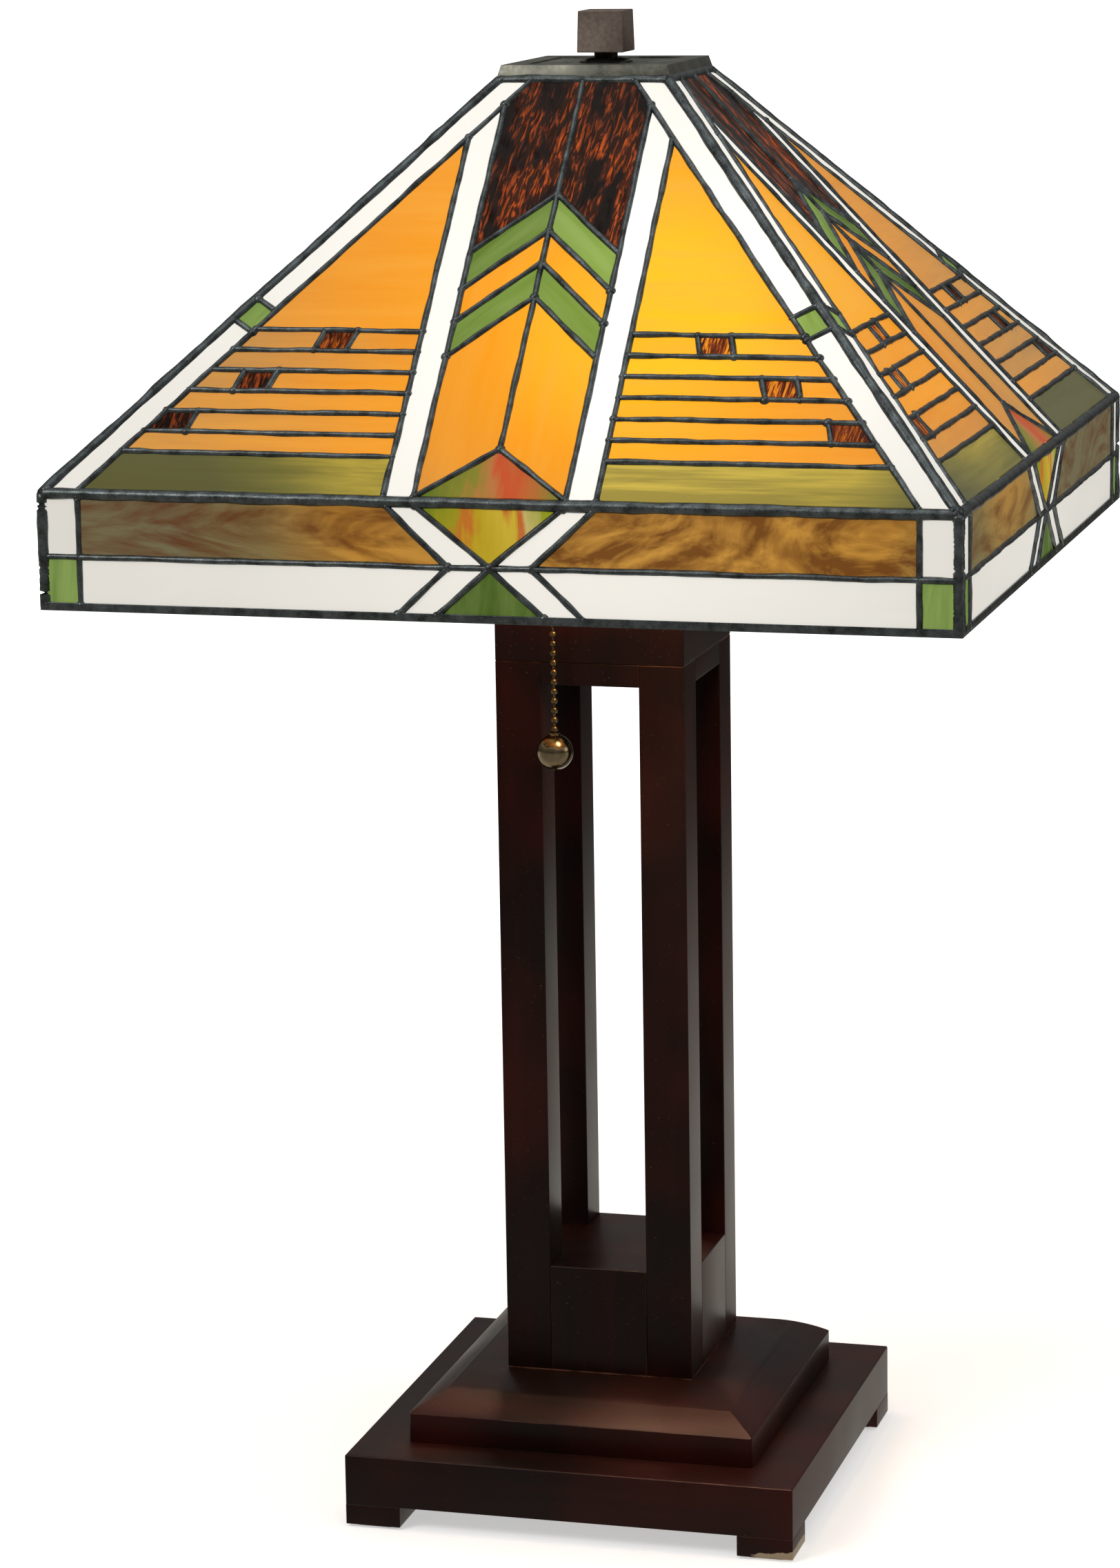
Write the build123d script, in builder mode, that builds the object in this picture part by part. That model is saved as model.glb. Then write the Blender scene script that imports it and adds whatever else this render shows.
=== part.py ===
"""Table lamp with a mission style wooden base and a four-sided leaded glass shade.

Millimetres, +Z up, origin at the centre of the base on the surface it stands on.
-Y is the front, +X the right.  The shade turns on its seat, the finial unscrews,
the bulbs screw out and each socket has a pull chain that slides and swings.
"""
import os
from math import atan, cos, hypot, radians, sin

from build123d import *

os.makedirs("parts", exist_ok=True)

# ---------------------------------------------------------------- wooden base
pad_thickness = 1.2
pad_size = 19
foot_size = 25
foot_height = 10.5
plinth_size = 203.2
plinth_thickness = 22.8
plinth_edge_round = 0.8
recess_size = 120
recess_depth = 13
cover_thickness = 2
cover_lip = 4
upper_size = 157.2
upper_side = 13.3
upper_rise = 12.4
upper_bulge = 1.5
upper_margin = 9.5
upper_corner_round = 1.6
column_size = 85.2
post_size = 20.5
bottom_rail_height = 49
window_height = 264
top_rail_height = 10
cap_block_height = 43
wood_edge_round = 0.5
wire_bore = 7

# ---------------------------------------------------------------- fasteners
screw_shank = 4.4
screw_head = 8.4
screw_head_height = 2.6
base_screw_spacing = 30
base_screw_grip = 25
rail_screw_grip = 8
plate_screw_shank = 3
plate_screw_head = 6
plate_screw_length = 14
plate_screw_spacing = 44
grommet_bore = 7
grommet_wall = 1.8
grommet_flange = 2
grommet_flange_height = 1.6

# ---------------------------------------------------------------- lamp works
plate_size = 58
plate_thickness = 3
pipe_diameter = 9.5
pipe_bore = 6.5
pipe_sink = 30
nut_across = 16
nut_height = 5
washer_diameter = 22
washer_thickness = 1.5
cluster_height = 507
cluster_diameter = 30
cluster_body_height = 30
cluster_wall = 2
socket_turn = -64
socket_cap_start = 20
socket_cap_length = 16
socket_cap_diameter = 38
socket_shell_start = 30
socket_shell_end = 80
socket_wall = 0.8
socket_gap = 0.2
liner_wall = 0.6
core_start = 33
core_end = 54
contact_diameter = 7
contact_height = 2
screw_shell_wall = 0.5
screw_shell_end = 78
bulb_base_diameter = 26
bulb_clearance = 0.3
bulb_base_end = 84
bulb_diameter = 50
bulb_centre = 116
bulb_shoulder = 115
bulb_wall = 0.8
chain_along = 42
chain_side = 35
guide_diameter = 6.4
guide_bore = 4.4
guide_drop = 8.6
guide_rise = 4

# ---------------------------------------------------------------- pull chains
bead_diameter = 3.2
bead_pitch = 4.2
bead_count = 34
link_diameter = 0.9
stem_beads = 2
swing_gap = 0.3
ball_diameter = 16
ball_drop = 2.1
pivot_below_mouth = 1

# ---------------------------------------------------------------- shade
shade_half = 193
skirt_bottom = 424.9
skirt_height = 49.3
slope_top = 633.4
slope_top_half = 38.5
came_thickness = 3.2
line_width = 2.6
edge_line = 1.9
glass_thickness = 2.2
glass_recess = 0.5
rim_wall = 0.6
rim_height = 3.5
cap_half = 36.7
cap_flange_half = 38.4
cap_flange_height = 5.9
cap_sheet = 1.0
cap_dish_half = 28
cap_dish_depth = 0.8
cap_hole_clearance = 0.5
vent_diameter = 4
vent_circle = 17
vent_spacing = 45

# leading of a slope: across from its middle, up from the knee
strip_width = 13.1
hip_square_low = 112
hip_square_high = 125.8
inner_strip_in = 32
inner_strip_out = 44.6
chevron_tops = (159.5, 140, 123, 105)
chevron_drop = 31.5
fan_top = 27
knee_line = 2.0
olive_top = 22
row_pitch = 10.7
block_slant = 3
top_row_blocks = (72.5, 86.5)
middle_row_blocks = (102.5, 117)
low_row_block = 133

# leading of a skirt: across from its middle, up from its bottom edge
rim_line = 2.4
skirt_middle = 22.5
corner_column = 176
upper_fan = 31
upper_brace = 44
lower_fan = 22.5
lower_brace = 39
brace_foot = 17.5

# ---------------------------------------------------------------- finial
finial_washer_diameter = 23
finial_washer_height = 2.1
finial_neck_wall = 0.25
finial_neck_height = 2.4
finial_top_size = 19.6
finial_bottom_size = 20.6
finial_height = 17.8
finial_bore_depth = 12
finial_thread_clearance = 0.1
pipe_into_finial = 9

# ---------------------------------------------------------------- heights and places
foot_bottom = pad_thickness
plinth_bottom = foot_bottom + foot_height - pad_thickness
plinth_top = plinth_bottom + plinth_thickness
recess_top = plinth_bottom + recess_depth
upper_edge = plinth_top + upper_side
column_seat = upper_edge + upper_rise
window_bottom = column_seat + bottom_rail_height
window_top = window_bottom + window_height
post_top = window_top + top_rail_height
column_top = post_top + cap_block_height
plate_top = column_top + plate_thickness
post_place = (column_size - post_size) / 2
foot_place = (plinth_size - foot_size) / 2
window_width = column_size - 2 * post_size
knee_height = skirt_bottom + skirt_height
slope_length = hypot(shade_half - slope_top_half, slope_top - knee_height)
slope_run = (shade_half - slope_top_half) / slope_length
slope_climb = (slope_top - knee_height) / slope_length
cap_top = slope_top + cap_flange_height
dish_floor = cap_top - cap_dish_depth
cap_underside = dish_floor - cap_sheet
finial_washer_top = dish_floor + finial_washer_height
finial_bottom = finial_washer_top + finial_neck_height
finial_top = finial_bottom + finial_height
pipe_radius = pipe_diameter / 2
finial_neck_diameter = pipe_diameter + 2 * (finial_thread_clearance + finial_neck_wall)
cap_hole = pipe_diameter + 2 * cap_hole_clearance
pipe_top = finial_washer_top + pipe_into_finial
pipe_bottom = column_top - pipe_sink
guide_mouth = cluster_height - guide_drop
pull_pivot = guide_mouth - pivot_below_mouth
chain_end = pull_pivot - bead_count * bead_pitch
ball_top = chain_end - ball_drop
ball_centre = ball_top - ball_diameter / 2
shell_radius = socket_cap_diameter / 2 - socket_wall - socket_gap
liner_radius = shell_radius - socket_wall - socket_gap
core_radius = liner_radius - liner_wall - socket_gap
screw_shell_radius = bulb_base_diameter / 2 + bulb_clearance + screw_shell_wall

base_screws = [(x, y) for x in (-base_screw_spacing / 2, base_screw_spacing / 2)
               for y in (-base_screw_spacing / 2, base_screw_spacing / 2)]
rail_screws = [(-post_place, 0), (post_place, 0), (0, -post_place), (0, post_place)]
plate_screws = [(x, y) for x in (-plate_screw_spacing / 2, plate_screw_spacing / 2)
                for y in (-plate_screw_spacing / 2, plate_screw_spacing / 2)]
wire_place = (-post_place, post_place)

SIDES = ("front", "right", "rear", "left")


def finish(piece, name):
    """Name a finished piece and write it out."""
    piece.label = name
    export_step(piece, f"parts/{name}.step")


# ================================================================ wooden base
def corner_block(x_side, y_side, name):
    """A foot glued under one corner of the plinth."""
    with BuildPart() as foot:
        with BuildSketch(Plane.XY.offset(foot_bottom)):
            with Locations((x_side * foot_place, y_side * foot_place)):
                Rectangle(foot_size, foot_size)
        extrude(amount=plinth_bottom - foot_bottom)
        fillet(foot.edges().filter_by(Axis.Z), radius=wood_edge_round)
    finish(foot.part, name)


def post(x_side, y_side, name, bored):
    """One of the column's four corner posts; the bored one carries the wires."""
    with BuildPart() as stile:
        with BuildSketch(Plane.XY.offset(column_seat)):
            with Locations((x_side * post_place, y_side * post_place)):
                Rectangle(post_size, post_size)
        extrude(amount=post_top - column_seat)
        fillet(stile.edges().filter_by(Axis.Z), radius=wood_edge_round)
        if bored:
            with Locations((x_side * post_place, y_side * post_place, post_top)):
                Hole(radius=wire_bore / 2)
    finish(stile.part, name)


def cross_rail(bottom, height, name, screws, screw_from, screw_depth):
    """The cross shaped block that fills the space between the four posts."""
    with BuildPart() as rail:
        with BuildSketch(Plane.XY.offset(bottom)):
            Rectangle(column_size, window_width)
            Rectangle(window_width, column_size)
        extrude(amount=height)
        level = rail.edges().filter_by(Axis.Z, reverse=True)
        reach = column_size / 2 - wood_edge_round
        fillet(level.filter_by(lambda edge: max(abs(edge.center().X), abs(edge.center().Y)) > reach),
               radius=wood_edge_round)
        with BuildSketch(Plane.XY.offset(screw_from)):
            with Locations(*screws):
                Circle(screw_shank / 2)
        extrude(amount=screw_depth, mode=Mode.SUBTRACT)
    finish(rail.part, name)


for y_side, y_name in ((-1, "front"), (1, "rear")):
    for x_side, x_name in ((-1, "left"), (1, "right")):
        corner_block(x_side, y_side, f"foot_{y_name}_{x_name}")
        post(x_side, y_side, f"post_{y_name}_{x_name}", (x_side, y_side) == (-1, 1))

with BuildPart() as felt_pads:
    with BuildSketch():
        with GridLocations(2 * foot_place, 2 * foot_place, 2, 2):
            RectangleRounded(pad_size, pad_size, radius=3)
    extrude(amount=pad_thickness)
finish(felt_pads.part, "felt_pads")

with BuildPart() as lower_plinth:
    with BuildSketch(Plane.XY.offset(plinth_bottom)):
        Rectangle(plinth_size, plinth_size)
    extrude(amount=plinth_thickness)
    fillet(lower_plinth.edges().filter_by(Axis.Z), radius=plinth_edge_round)
    fillet(lower_plinth.faces().sort_by(Axis.Z)[-1].edges(), radius=plinth_edge_round)
    with BuildSketch(Plane.XY.offset(plinth_bottom)):
        Rectangle(recess_size, recess_size)
    extrude(amount=recess_depth, mode=Mode.SUBTRACT)
    with BuildSketch(Plane.XY.offset(plinth_bottom)):
        Rectangle(recess_size + 2 * cover_lip, recess_size + 2 * cover_lip)
    extrude(amount=cover_thickness, mode=Mode.SUBTRACT)
    with BuildSketch(Plane.XY.offset(recess_top)):
        with Locations(*base_screws):
            Circle(screw_shank / 2)
        with Locations(wire_place):
            Circle(wire_bore / 2)
    extrude(amount=plinth_thickness, mode=Mode.SUBTRACT)
    with BuildSketch(Plane.XZ.offset(-plinth_size / 2)):
        with Locations((0, plinth_bottom + recess_depth / 2 + cover_thickness / 2)):
            Circle(grommet_bore / 2 + grommet_wall)
    extrude(amount=(plinth_size - recess_size) / 2 + 1, mode=Mode.SUBTRACT)
finish(lower_plinth.part, "lower_plinth")

with BuildPart() as bottom_cover:
    with BuildSketch(Plane.XY.offset(plinth_bottom)):
        Rectangle(recess_size + 2 * cover_lip, recess_size + 2 * cover_lip)
    extrude(amount=cover_thickness)
finish(bottom_cover.part, "bottom_cover")

with BuildPart() as cord_grommet:
    with BuildSketch(Plane.XZ.offset(-plinth_size / 2)):
        with Locations((0, plinth_bottom + recess_depth / 2 + cover_thickness / 2)):
            Circle(grommet_bore / 2 + grommet_wall)
            Circle(grommet_bore / 2, mode=Mode.SUBTRACT)
    extrude(amount=(plinth_size - recess_size) / 2)
    with BuildSketch(Plane.XZ.offset(-plinth_size / 2)):
        with Locations((0, plinth_bottom + recess_depth / 2 + cover_thickness / 2)):
            Circle(grommet_bore / 2 + grommet_wall + grommet_flange)
            Circle(grommet_bore / 2, mode=Mode.SUBTRACT)
    extrude(amount=-grommet_flange_height)
finish(cord_grommet.part, "cord_grommet")

slope_foot = upper_size / 2
slope_head = column_size / 2 + upper_margin
slope_mid = ((slope_foot + slope_head) / 2, upper_edge + upper_rise / 2 + upper_bulge)
with BuildPart() as upper_plinth:
    for section, mode in ((Plane.XZ, Mode.ADD), (Plane.YZ, Mode.INTERSECT)):
        with BuildSketch(section):
            with BuildLine():
                Polyline((slope_foot, upper_edge), (slope_foot, plinth_top),
                         (-slope_foot, plinth_top), (-slope_foot, upper_edge))
                ThreePointArc((-slope_foot, upper_edge), (-slope_mid[0], slope_mid[1]),
                              (-slope_head, column_seat))
                Line((-slope_head, column_seat), (slope_head, column_seat))
                ThreePointArc((slope_head, column_seat), slope_mid, (slope_foot, upper_edge))
            make_face()
        extrude(amount=slope_foot, both=True, mode=mode)
    fillet(upper_plinth.edges().filter_by(Axis.Z), radius=upper_corner_round)
    with BuildSketch(Plane.XY.offset(plinth_top)):
        with Locations(*base_screws):
            Circle(screw_shank / 2)
        with Locations(wire_place):
            Circle(wire_bore / 2)
    extrude(amount=upper_side + upper_rise + upper_bulge, mode=Mode.SUBTRACT)
finish(upper_plinth.part, "upper_plinth")

cross_rail(column_seat, bottom_rail_height, "column_bottom_rail", base_screws, column_seat,
           base_screw_grip)
cross_rail(window_top, top_rail_height, "column_top_rail", rail_screws, post_top - rail_screw_grip,
           rail_screw_grip)

with BuildPart() as column_cap_block:
    with BuildSketch(Plane.XY.offset(post_top)):
        Rectangle(column_size, column_size)
    extrude(amount=cap_block_height)
    fillet(column_cap_block.edges(), radius=wood_edge_round)
    with BuildSketch(Plane.XY.offset(post_top)):
        SlotCenterPoint((wire_place[0] / 2, wire_place[1] / 2), wire_place, wire_bore)
    extrude(amount=wire_bore, mode=Mode.SUBTRACT)
    with BuildSketch(Plane.XY.offset(post_top)):
        Circle(wire_bore / 2)
        with Locations(*rail_screws):
            Circle(screw_shank / 2)
    extrude(amount=cap_block_height, mode=Mode.SUBTRACT)
    with BuildSketch(Plane.XY.offset(pipe_bottom)):
        Circle(pipe_radius)
    extrude(amount=pipe_sink, mode=Mode.SUBTRACT)
    with BuildSketch(Plane.XY.offset(column_top - screw_head_height)):
        with Locations(*rail_screws):
            Circle(screw_head / 2)
    extrude(amount=screw_head_height, mode=Mode.SUBTRACT)
    with BuildSketch(Plane.XY.offset(column_top - plate_screw_length + plate_thickness)):
        with Locations(*plate_screws):
            Circle(plate_screw_shank / 2)
    extrude(amount=plate_screw_length, mode=Mode.SUBTRACT)
finish(column_cap_block.part, "column_cap_block")

with BuildPart() as column_screws:
    with BuildSketch(Plane.XY.offset(recess_top)):
        with Locations(*base_screws):
            Circle(screw_shank / 2)
    extrude(amount=column_seat + base_screw_grip - recess_top)
    with BuildSketch(Plane.XY.offset(recess_top)):
        with Locations(*base_screws):
            Circle(screw_head / 2)
    extrude(amount=-screw_head_height)
    with BuildSketch(Plane.XY.offset(column_top - screw_head_height)):
        with Locations(*rail_screws):
            Circle(screw_head / 2)
    extrude(amount=screw_head_height)
    with BuildSketch(Plane.XY.offset(post_top - rail_screw_grip)):
        with Locations(*rail_screws):
            Circle(screw_shank / 2)
    extrude(amount=rail_screw_grip + cap_block_height - screw_head_height)
finish(column_screws.part, "column_screws")

# ================================================================ pipe and plate
with BuildPart() as top_plate:
    with BuildSketch(Plane.XY.offset(column_top)):
        RectangleRounded(plate_size, plate_size, radius=3)
        Circle(pipe_radius, mode=Mode.SUBTRACT)
        with Locations(*plate_screws):
            Circle(plate_screw_shank / 2, mode=Mode.SUBTRACT)
    extrude(amount=plate_thickness)
finish(top_plate.part, "top_plate")

with BuildPart() as plate_screw_set:
    with BuildSketch(Plane.XY.offset(plate_top)):
        with Locations(*plate_screws):
            Circle(plate_screw_shank / 2)
    extrude(amount=-plate_screw_length)
    with BuildSketch(Plane.XY.offset(plate_top)):
        with Locations(*plate_screws):
            Circle(plate_screw_head / 2)
    extrude(amount=plate_screw_head / 3)
    heads = plate_screw_set.faces().sort_by(Axis.Z)[-len(plate_screws):]
    fillet(heads.edges(), radius=plate_screw_head / 6)
finish(plate_screw_set.part, "plate_screws")

with BuildPart() as riser_pipe:
    with BuildSketch(Plane.XY.offset(pipe_bottom)):
        Circle(pipe_radius)
        Circle(pipe_bore / 2, mode=Mode.SUBTRACT)
    extrude(amount=pipe_top - pipe_bottom)
finish(riser_pipe.part, "riser_pipe")

cluster_low = cluster_height - cluster_body_height / 2
cluster_high = cluster_height + cluster_body_height / 2
nipple_radius = pipe_radius
nipple_end = socket_cap_start + socket_wall + nut_height


def socket_plane(turn, distance=0.0):
    """A plane across a socket's axis, at a distance from the pipe; its x axis points up."""
    out = Vector(cos(radians(turn)), sin(radians(turn)), 0)
    return Plane(origin=out * distance + Vector(0, 0, cluster_height), x_dir=(0, 0, 1), z_dir=out)


def across_plane(turn):
    """The level plane of a socket: its x axis runs along the socket, y to the chain's side."""
    out = (cos(radians(turn)), sin(radians(turn)), 0)
    return Plane(origin=(0, 0, cluster_height), x_dir=out, z_dir=(0, 0, -1))


with BuildPart() as pipe_fittings:
    for nut_bottom in (plate_top, cluster_low - nut_height, cluster_high,
                       cap_underside - washer_thickness - nut_height):
        with BuildSketch(Plane.XY.offset(nut_bottom)):
            RegularPolygon(nut_across / 2, 6, major_radius=False)
            Circle(pipe_radius, mode=Mode.SUBTRACT)
        extrude(amount=nut_height)
    with BuildSketch(Plane.XY.offset(cap_underside - washer_thickness)):
        Circle(washer_diameter / 2)
        Circle(pipe_radius, mode=Mode.SUBTRACT)
    extrude(amount=washer_thickness)
    for turn in (socket_turn, socket_turn + 180):
        with BuildSketch(socket_plane(turn, cluster_diameter / 2 - cluster_wall)):
            Circle(nipple_radius)
            Circle(pipe_bore / 2, mode=Mode.SUBTRACT)
        extrude(amount=nipple_end - cluster_diameter / 2 + cluster_wall)
        with BuildSketch(socket_plane(turn, socket_cap_start + socket_wall)):
            RegularPolygon(nut_across / 2, 6, major_radius=False)
            Circle(nipple_radius, mode=Mode.SUBTRACT)
        extrude(amount=nut_height)
finish(pipe_fittings.part, "pipe_fittings")

with BuildPart() as cluster_body:
    with BuildSketch(Plane.XY.offset(cluster_low)):
        Circle(cluster_diameter / 2)
    extrude(amount=cluster_body_height)
    fillet(cluster_body.edges(), radius=cluster_wall)
    with BuildSketch(Plane.XY.offset(cluster_low + cluster_wall)):
        Circle(cluster_diameter / 2 - cluster_wall)
    extrude(amount=cluster_body_height - 2 * cluster_wall, mode=Mode.SUBTRACT)
    with BuildSketch(Plane.XY.offset(cluster_low)):
        Circle(pipe_radius)
    extrude(amount=cluster_body_height, mode=Mode.SUBTRACT)
    with BuildSketch(socket_plane(socket_turn)):
        Circle(nipple_radius)
    extrude(amount=cluster_diameter, both=True, mode=Mode.SUBTRACT)
finish(cluster_body.part, "cluster_body")

# ================================================================ sockets and bulbs
sockets = (("front", socket_turn), ("rear", socket_turn + 180))


def guide_plane(turn):
    """A plane across a chain guide, origin on the socket's axis, facing the chain's side."""
    level = across_plane(turn)
    return Plane(origin=level.from_local_coords((chain_along, 0, 0)), z_dir=level.y_dir)


def chain_place(turn):
    """Where a socket's pull chain hangs."""
    return across_plane(turn).from_local_coords((chain_along, chain_side, 0))


def tube_pair(outer, wall, start, end, guided):
    """A tube round each socket's axis, cut where its chain guide passes through."""
    with BuildPart() as tubes:
        for _, turn in sockets:
            with BuildSketch(socket_plane(turn, start)):
                Circle(outer)
                Circle(outer - wall, mode=Mode.SUBTRACT)
            extrude(amount=end - start)
            if guided:
                with BuildSketch(guide_plane(turn)):
                    Circle(guide_diameter / 2)
                extrude(amount=chain_side, mode=Mode.SUBTRACT)
    return tubes.part


for mark, turn in sockets:
    level = across_plane(turn)
    with BuildPart() as socket_cap:
        with BuildSketch(socket_plane(turn, socket_cap_start)):
            Circle(socket_cap_diameter / 2)
        extrude(amount=socket_cap_length)
        fillet(socket_cap.edges().sort_by(lambda edge: edge.center().dot(level.x_dir))[0],
               radius=socket_cap_length / 3)
        opening = socket_cap.faces().sort_by(lambda face: face.center().dot(level.x_dir))[-1]
        offset(amount=-socket_wall, openings=opening)
        with BuildSketch(socket_plane(turn, socket_cap_start)):
            Circle(nipple_radius)
        extrude(amount=socket_cap_length, mode=Mode.SUBTRACT)
    finish(socket_cap.part, f"socket_cap_{mark}")

    with BuildPart() as socket_shell:
        with BuildSketch(socket_plane(turn, socket_shell_start)):
            Circle(shell_radius)
            Circle(shell_radius - socket_wall, mode=Mode.SUBTRACT)
        extrude(amount=socket_shell_end - socket_shell_start)
        with BuildSketch(guide_plane(turn)):
            Circle(guide_diameter / 2)
        extrude(amount=chain_side, mode=Mode.SUBTRACT)
    finish(socket_shell.part, f"socket_shell_{mark}")

    base_start = core_end + contact_height + bulb_clearance
    with BuildPart() as bulb_base:
        with BuildSketch(socket_plane(turn, base_start)):
            Circle(contact_diameter / 2)
        extrude(amount=contact_height)
        with BuildSketch(socket_plane(turn, base_start + contact_height)):
            Circle(bulb_base_diameter / 2)
        extrude(amount=bulb_base_end - base_start - contact_height)
    finish(bulb_base.part, f"bulb_base_{mark}")

    neck_radius = bulb_base_diameter / 2 - bulb_wall
    with BuildPart() as bulb_glass:
        with BuildSketch(level):
            with BuildLine():
                crown = CenterArc((bulb_centre, 0), bulb_diameter / 2, 0, bulb_shoulder)
                Spline(crown @ 1, (bulb_base_end, neck_radius), tangents=(crown % 1, (-1, 0)))
                Polyline((bulb_base_end, neck_radius), (bulb_base_end, 0), crown @ 0)
            make_face()
        revolve(axis=Axis(level.origin, level.x_dir))
    finish(bulb_glass.part, f"bulb_glass_{mark}")

finish(tube_pair(liner_radius, liner_wall, socket_shell_start, socket_shell_end - liner_wall, True),
       "socket_liners")

with BuildPart() as socket_cores:
    for _, turn in sockets:
        with BuildSketch(socket_plane(turn, core_start)):
            Circle(core_radius)
        extrude(amount=core_end - core_start)
        with BuildSketch(guide_plane(turn)):
            Circle(guide_diameter / 2)
        extrude(amount=chain_side, mode=Mode.SUBTRACT)
finish(socket_cores.part, "socket_cores")

with BuildPart() as screw_shells:
    add(tube_pair(screw_shell_radius, screw_shell_wall, core_end, screw_shell_end, False))
    for _, turn in sockets:
        with BuildSketch(socket_plane(turn, core_end)):
            Circle(contact_diameter / 2)
        extrude(amount=contact_height)
finish(screw_shells.part, "screw_shells")

with BuildPart() as chain_guides:
    for _, turn in sockets:
        mouth = chain_place(turn)
        with BuildSketch(guide_plane(turn)):
            Circle(guide_diameter / 2)
        extrude(amount=chain_side)
        with BuildSketch(Plane.XY.offset(guide_mouth)):
            with Locations((mouth.X, mouth.Y)):
                Circle(guide_diameter / 2)
        extrude(amount=guide_drop + guide_rise)
        with BuildSketch(Plane.XY.offset(guide_mouth)):
            with Locations((mouth.X, mouth.Y)):
                Circle(guide_bore / 2)
        extrude(amount=guide_drop + guide_rise - socket_wall, mode=Mode.SUBTRACT)
finish(chain_guides.part, "chain_guides")

# ================================================================ pull chains
for mark, turn in sockets:
    place = chain_place(turn)
    with BuildPart() as chain_stem:
        with Locations((place.X, place.Y, pull_pivot)):
            Sphere(bead_diameter / 2)
        with BuildSketch(Plane.XY.offset(pull_pivot)):
            with Locations((place.X, place.Y)):
                Circle(link_diameter / 2)
        extrude(amount=stem_beads * bead_pitch)
        for bead in range(1, stem_beads + 1):
            with Locations((place.X, place.Y, pull_pivot + bead * bead_pitch)):
                Sphere(bead_diameter / 2)
    finish(chain_stem.part, f"chain_stem_{mark}")

    with BuildPart() as pull_chain:
        with BuildSketch(Plane.XY.offset(ball_top)):
            with Locations((place.X, place.Y)):
                Circle(link_diameter / 2)
        extrude(amount=pull_pivot - bead_diameter / 2 - swing_gap - ball_top)
        for bead in range(1, bead_count + 1):
            with Locations((place.X, place.Y, pull_pivot - bead * bead_pitch)):
                Sphere(bead_diameter / 2)
    finish(pull_chain.part, f"pull_chain_{mark}")

    with BuildPart() as chain_ball:
        with Locations((place.X, place.Y, ball_centre)):
            Sphere(ball_diameter / 2)
    finish(chain_ball.part, f"chain_ball_{mark}")

# ================================================================ shade
def outward(side):
    """Unit vector out of one side of the shade."""
    turn = radians(90 * side - 90)
    return Vector(cos(turn), sin(turn), 0)


def along(side):
    """Unit vector to the right across one side, seen from outside."""
    return outward(side).rotate(Axis.Z, 90)


def slope_plane(side):
    """Face of a slope, origin at the middle of its knee, y axis up the slope."""
    upwards = outward(side) * -slope_run + Vector(0, 0, slope_climb)
    return Plane(origin=outward(side) * shade_half + Vector(0, 0, knee_height),
                 x_dir=along(side), z_dir=along(side).cross(upwards))


def skirt_plane(side):
    """Face of a skirt, origin at the middle of its bottom edge, y axis up."""
    return Plane(origin=outward(side) * shade_half + Vector(0, 0, skirt_bottom),
                 x_dir=along(side), z_dir=outward(side))


def hip_point(distance, inset):
    """Point on a slope, a distance up its right hip from the knee and an inset from it."""
    return (shade_half - distance * slope_lean - inset * slope_rise,
            distance * slope_rise - inset * slope_lean)


def hip_across(height, inset):
    """How far across a slope the line at an inset from the hip is, at a height."""
    return hip_point((height + inset * slope_lean) / slope_rise, inset)[0]


hip_angle = atan((shade_half - slope_top_half) / slope_length)
slope_lean = sin(hip_angle)
slope_rise = cos(hip_angle)


def mirrored(outlines):
    """The outlines and their mirror images across the middle of the panel."""
    return outlines + [[(-u, v) for u, v in outline] for outline in outlines]


def row_line(row):
    """Height of a lead line between the rows above the knee."""
    return olive_top + row * row_pitch


def block(low_row, inner, outer=None):
    """Outline of a small piece in a row, its ends slanted, or ended by the hip strip."""
    low, high = row_line(low_row), row_line(low_row + 1)
    if outer is None:
        return [(inner, high), (inner + block_slant, low), (hip_across(low, strip_width), low),
                (hip_across(high, strip_width), high)]
    return [(inner, high), (inner + block_slant, low), (outer + block_slant, low), (outer, high)]


def row(low_row, outer=None):
    """Outline of a row's long piece, from the inner strip to a slanted end or the hip strip."""
    low, high = row_line(low_row), row_line(low_row + 1)
    if outer is None:
        low_end, high_end = hip_across(low, strip_width), hip_across(high, strip_width)
    else:
        low_end, high_end = outer + block_slant, outer
    return [(inner_strip_out, high), (inner_strip_out, low), (low_end, low), (high_end, high)]


def chevron(upper, lower):
    """Outline of one arm of a chevron between two lead lines."""
    return [(0, upper), (inner_strip_in, upper - chevron_drop), (inner_strip_in, lower - chevron_drop),
            (0, lower)]


def strip_height(across):
    """Height at which the hip strip's inner line reaches a place across the slope."""
    base = hip_across(0, strip_width)
    return (base - across) * slope_rise / slope_lean


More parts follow.
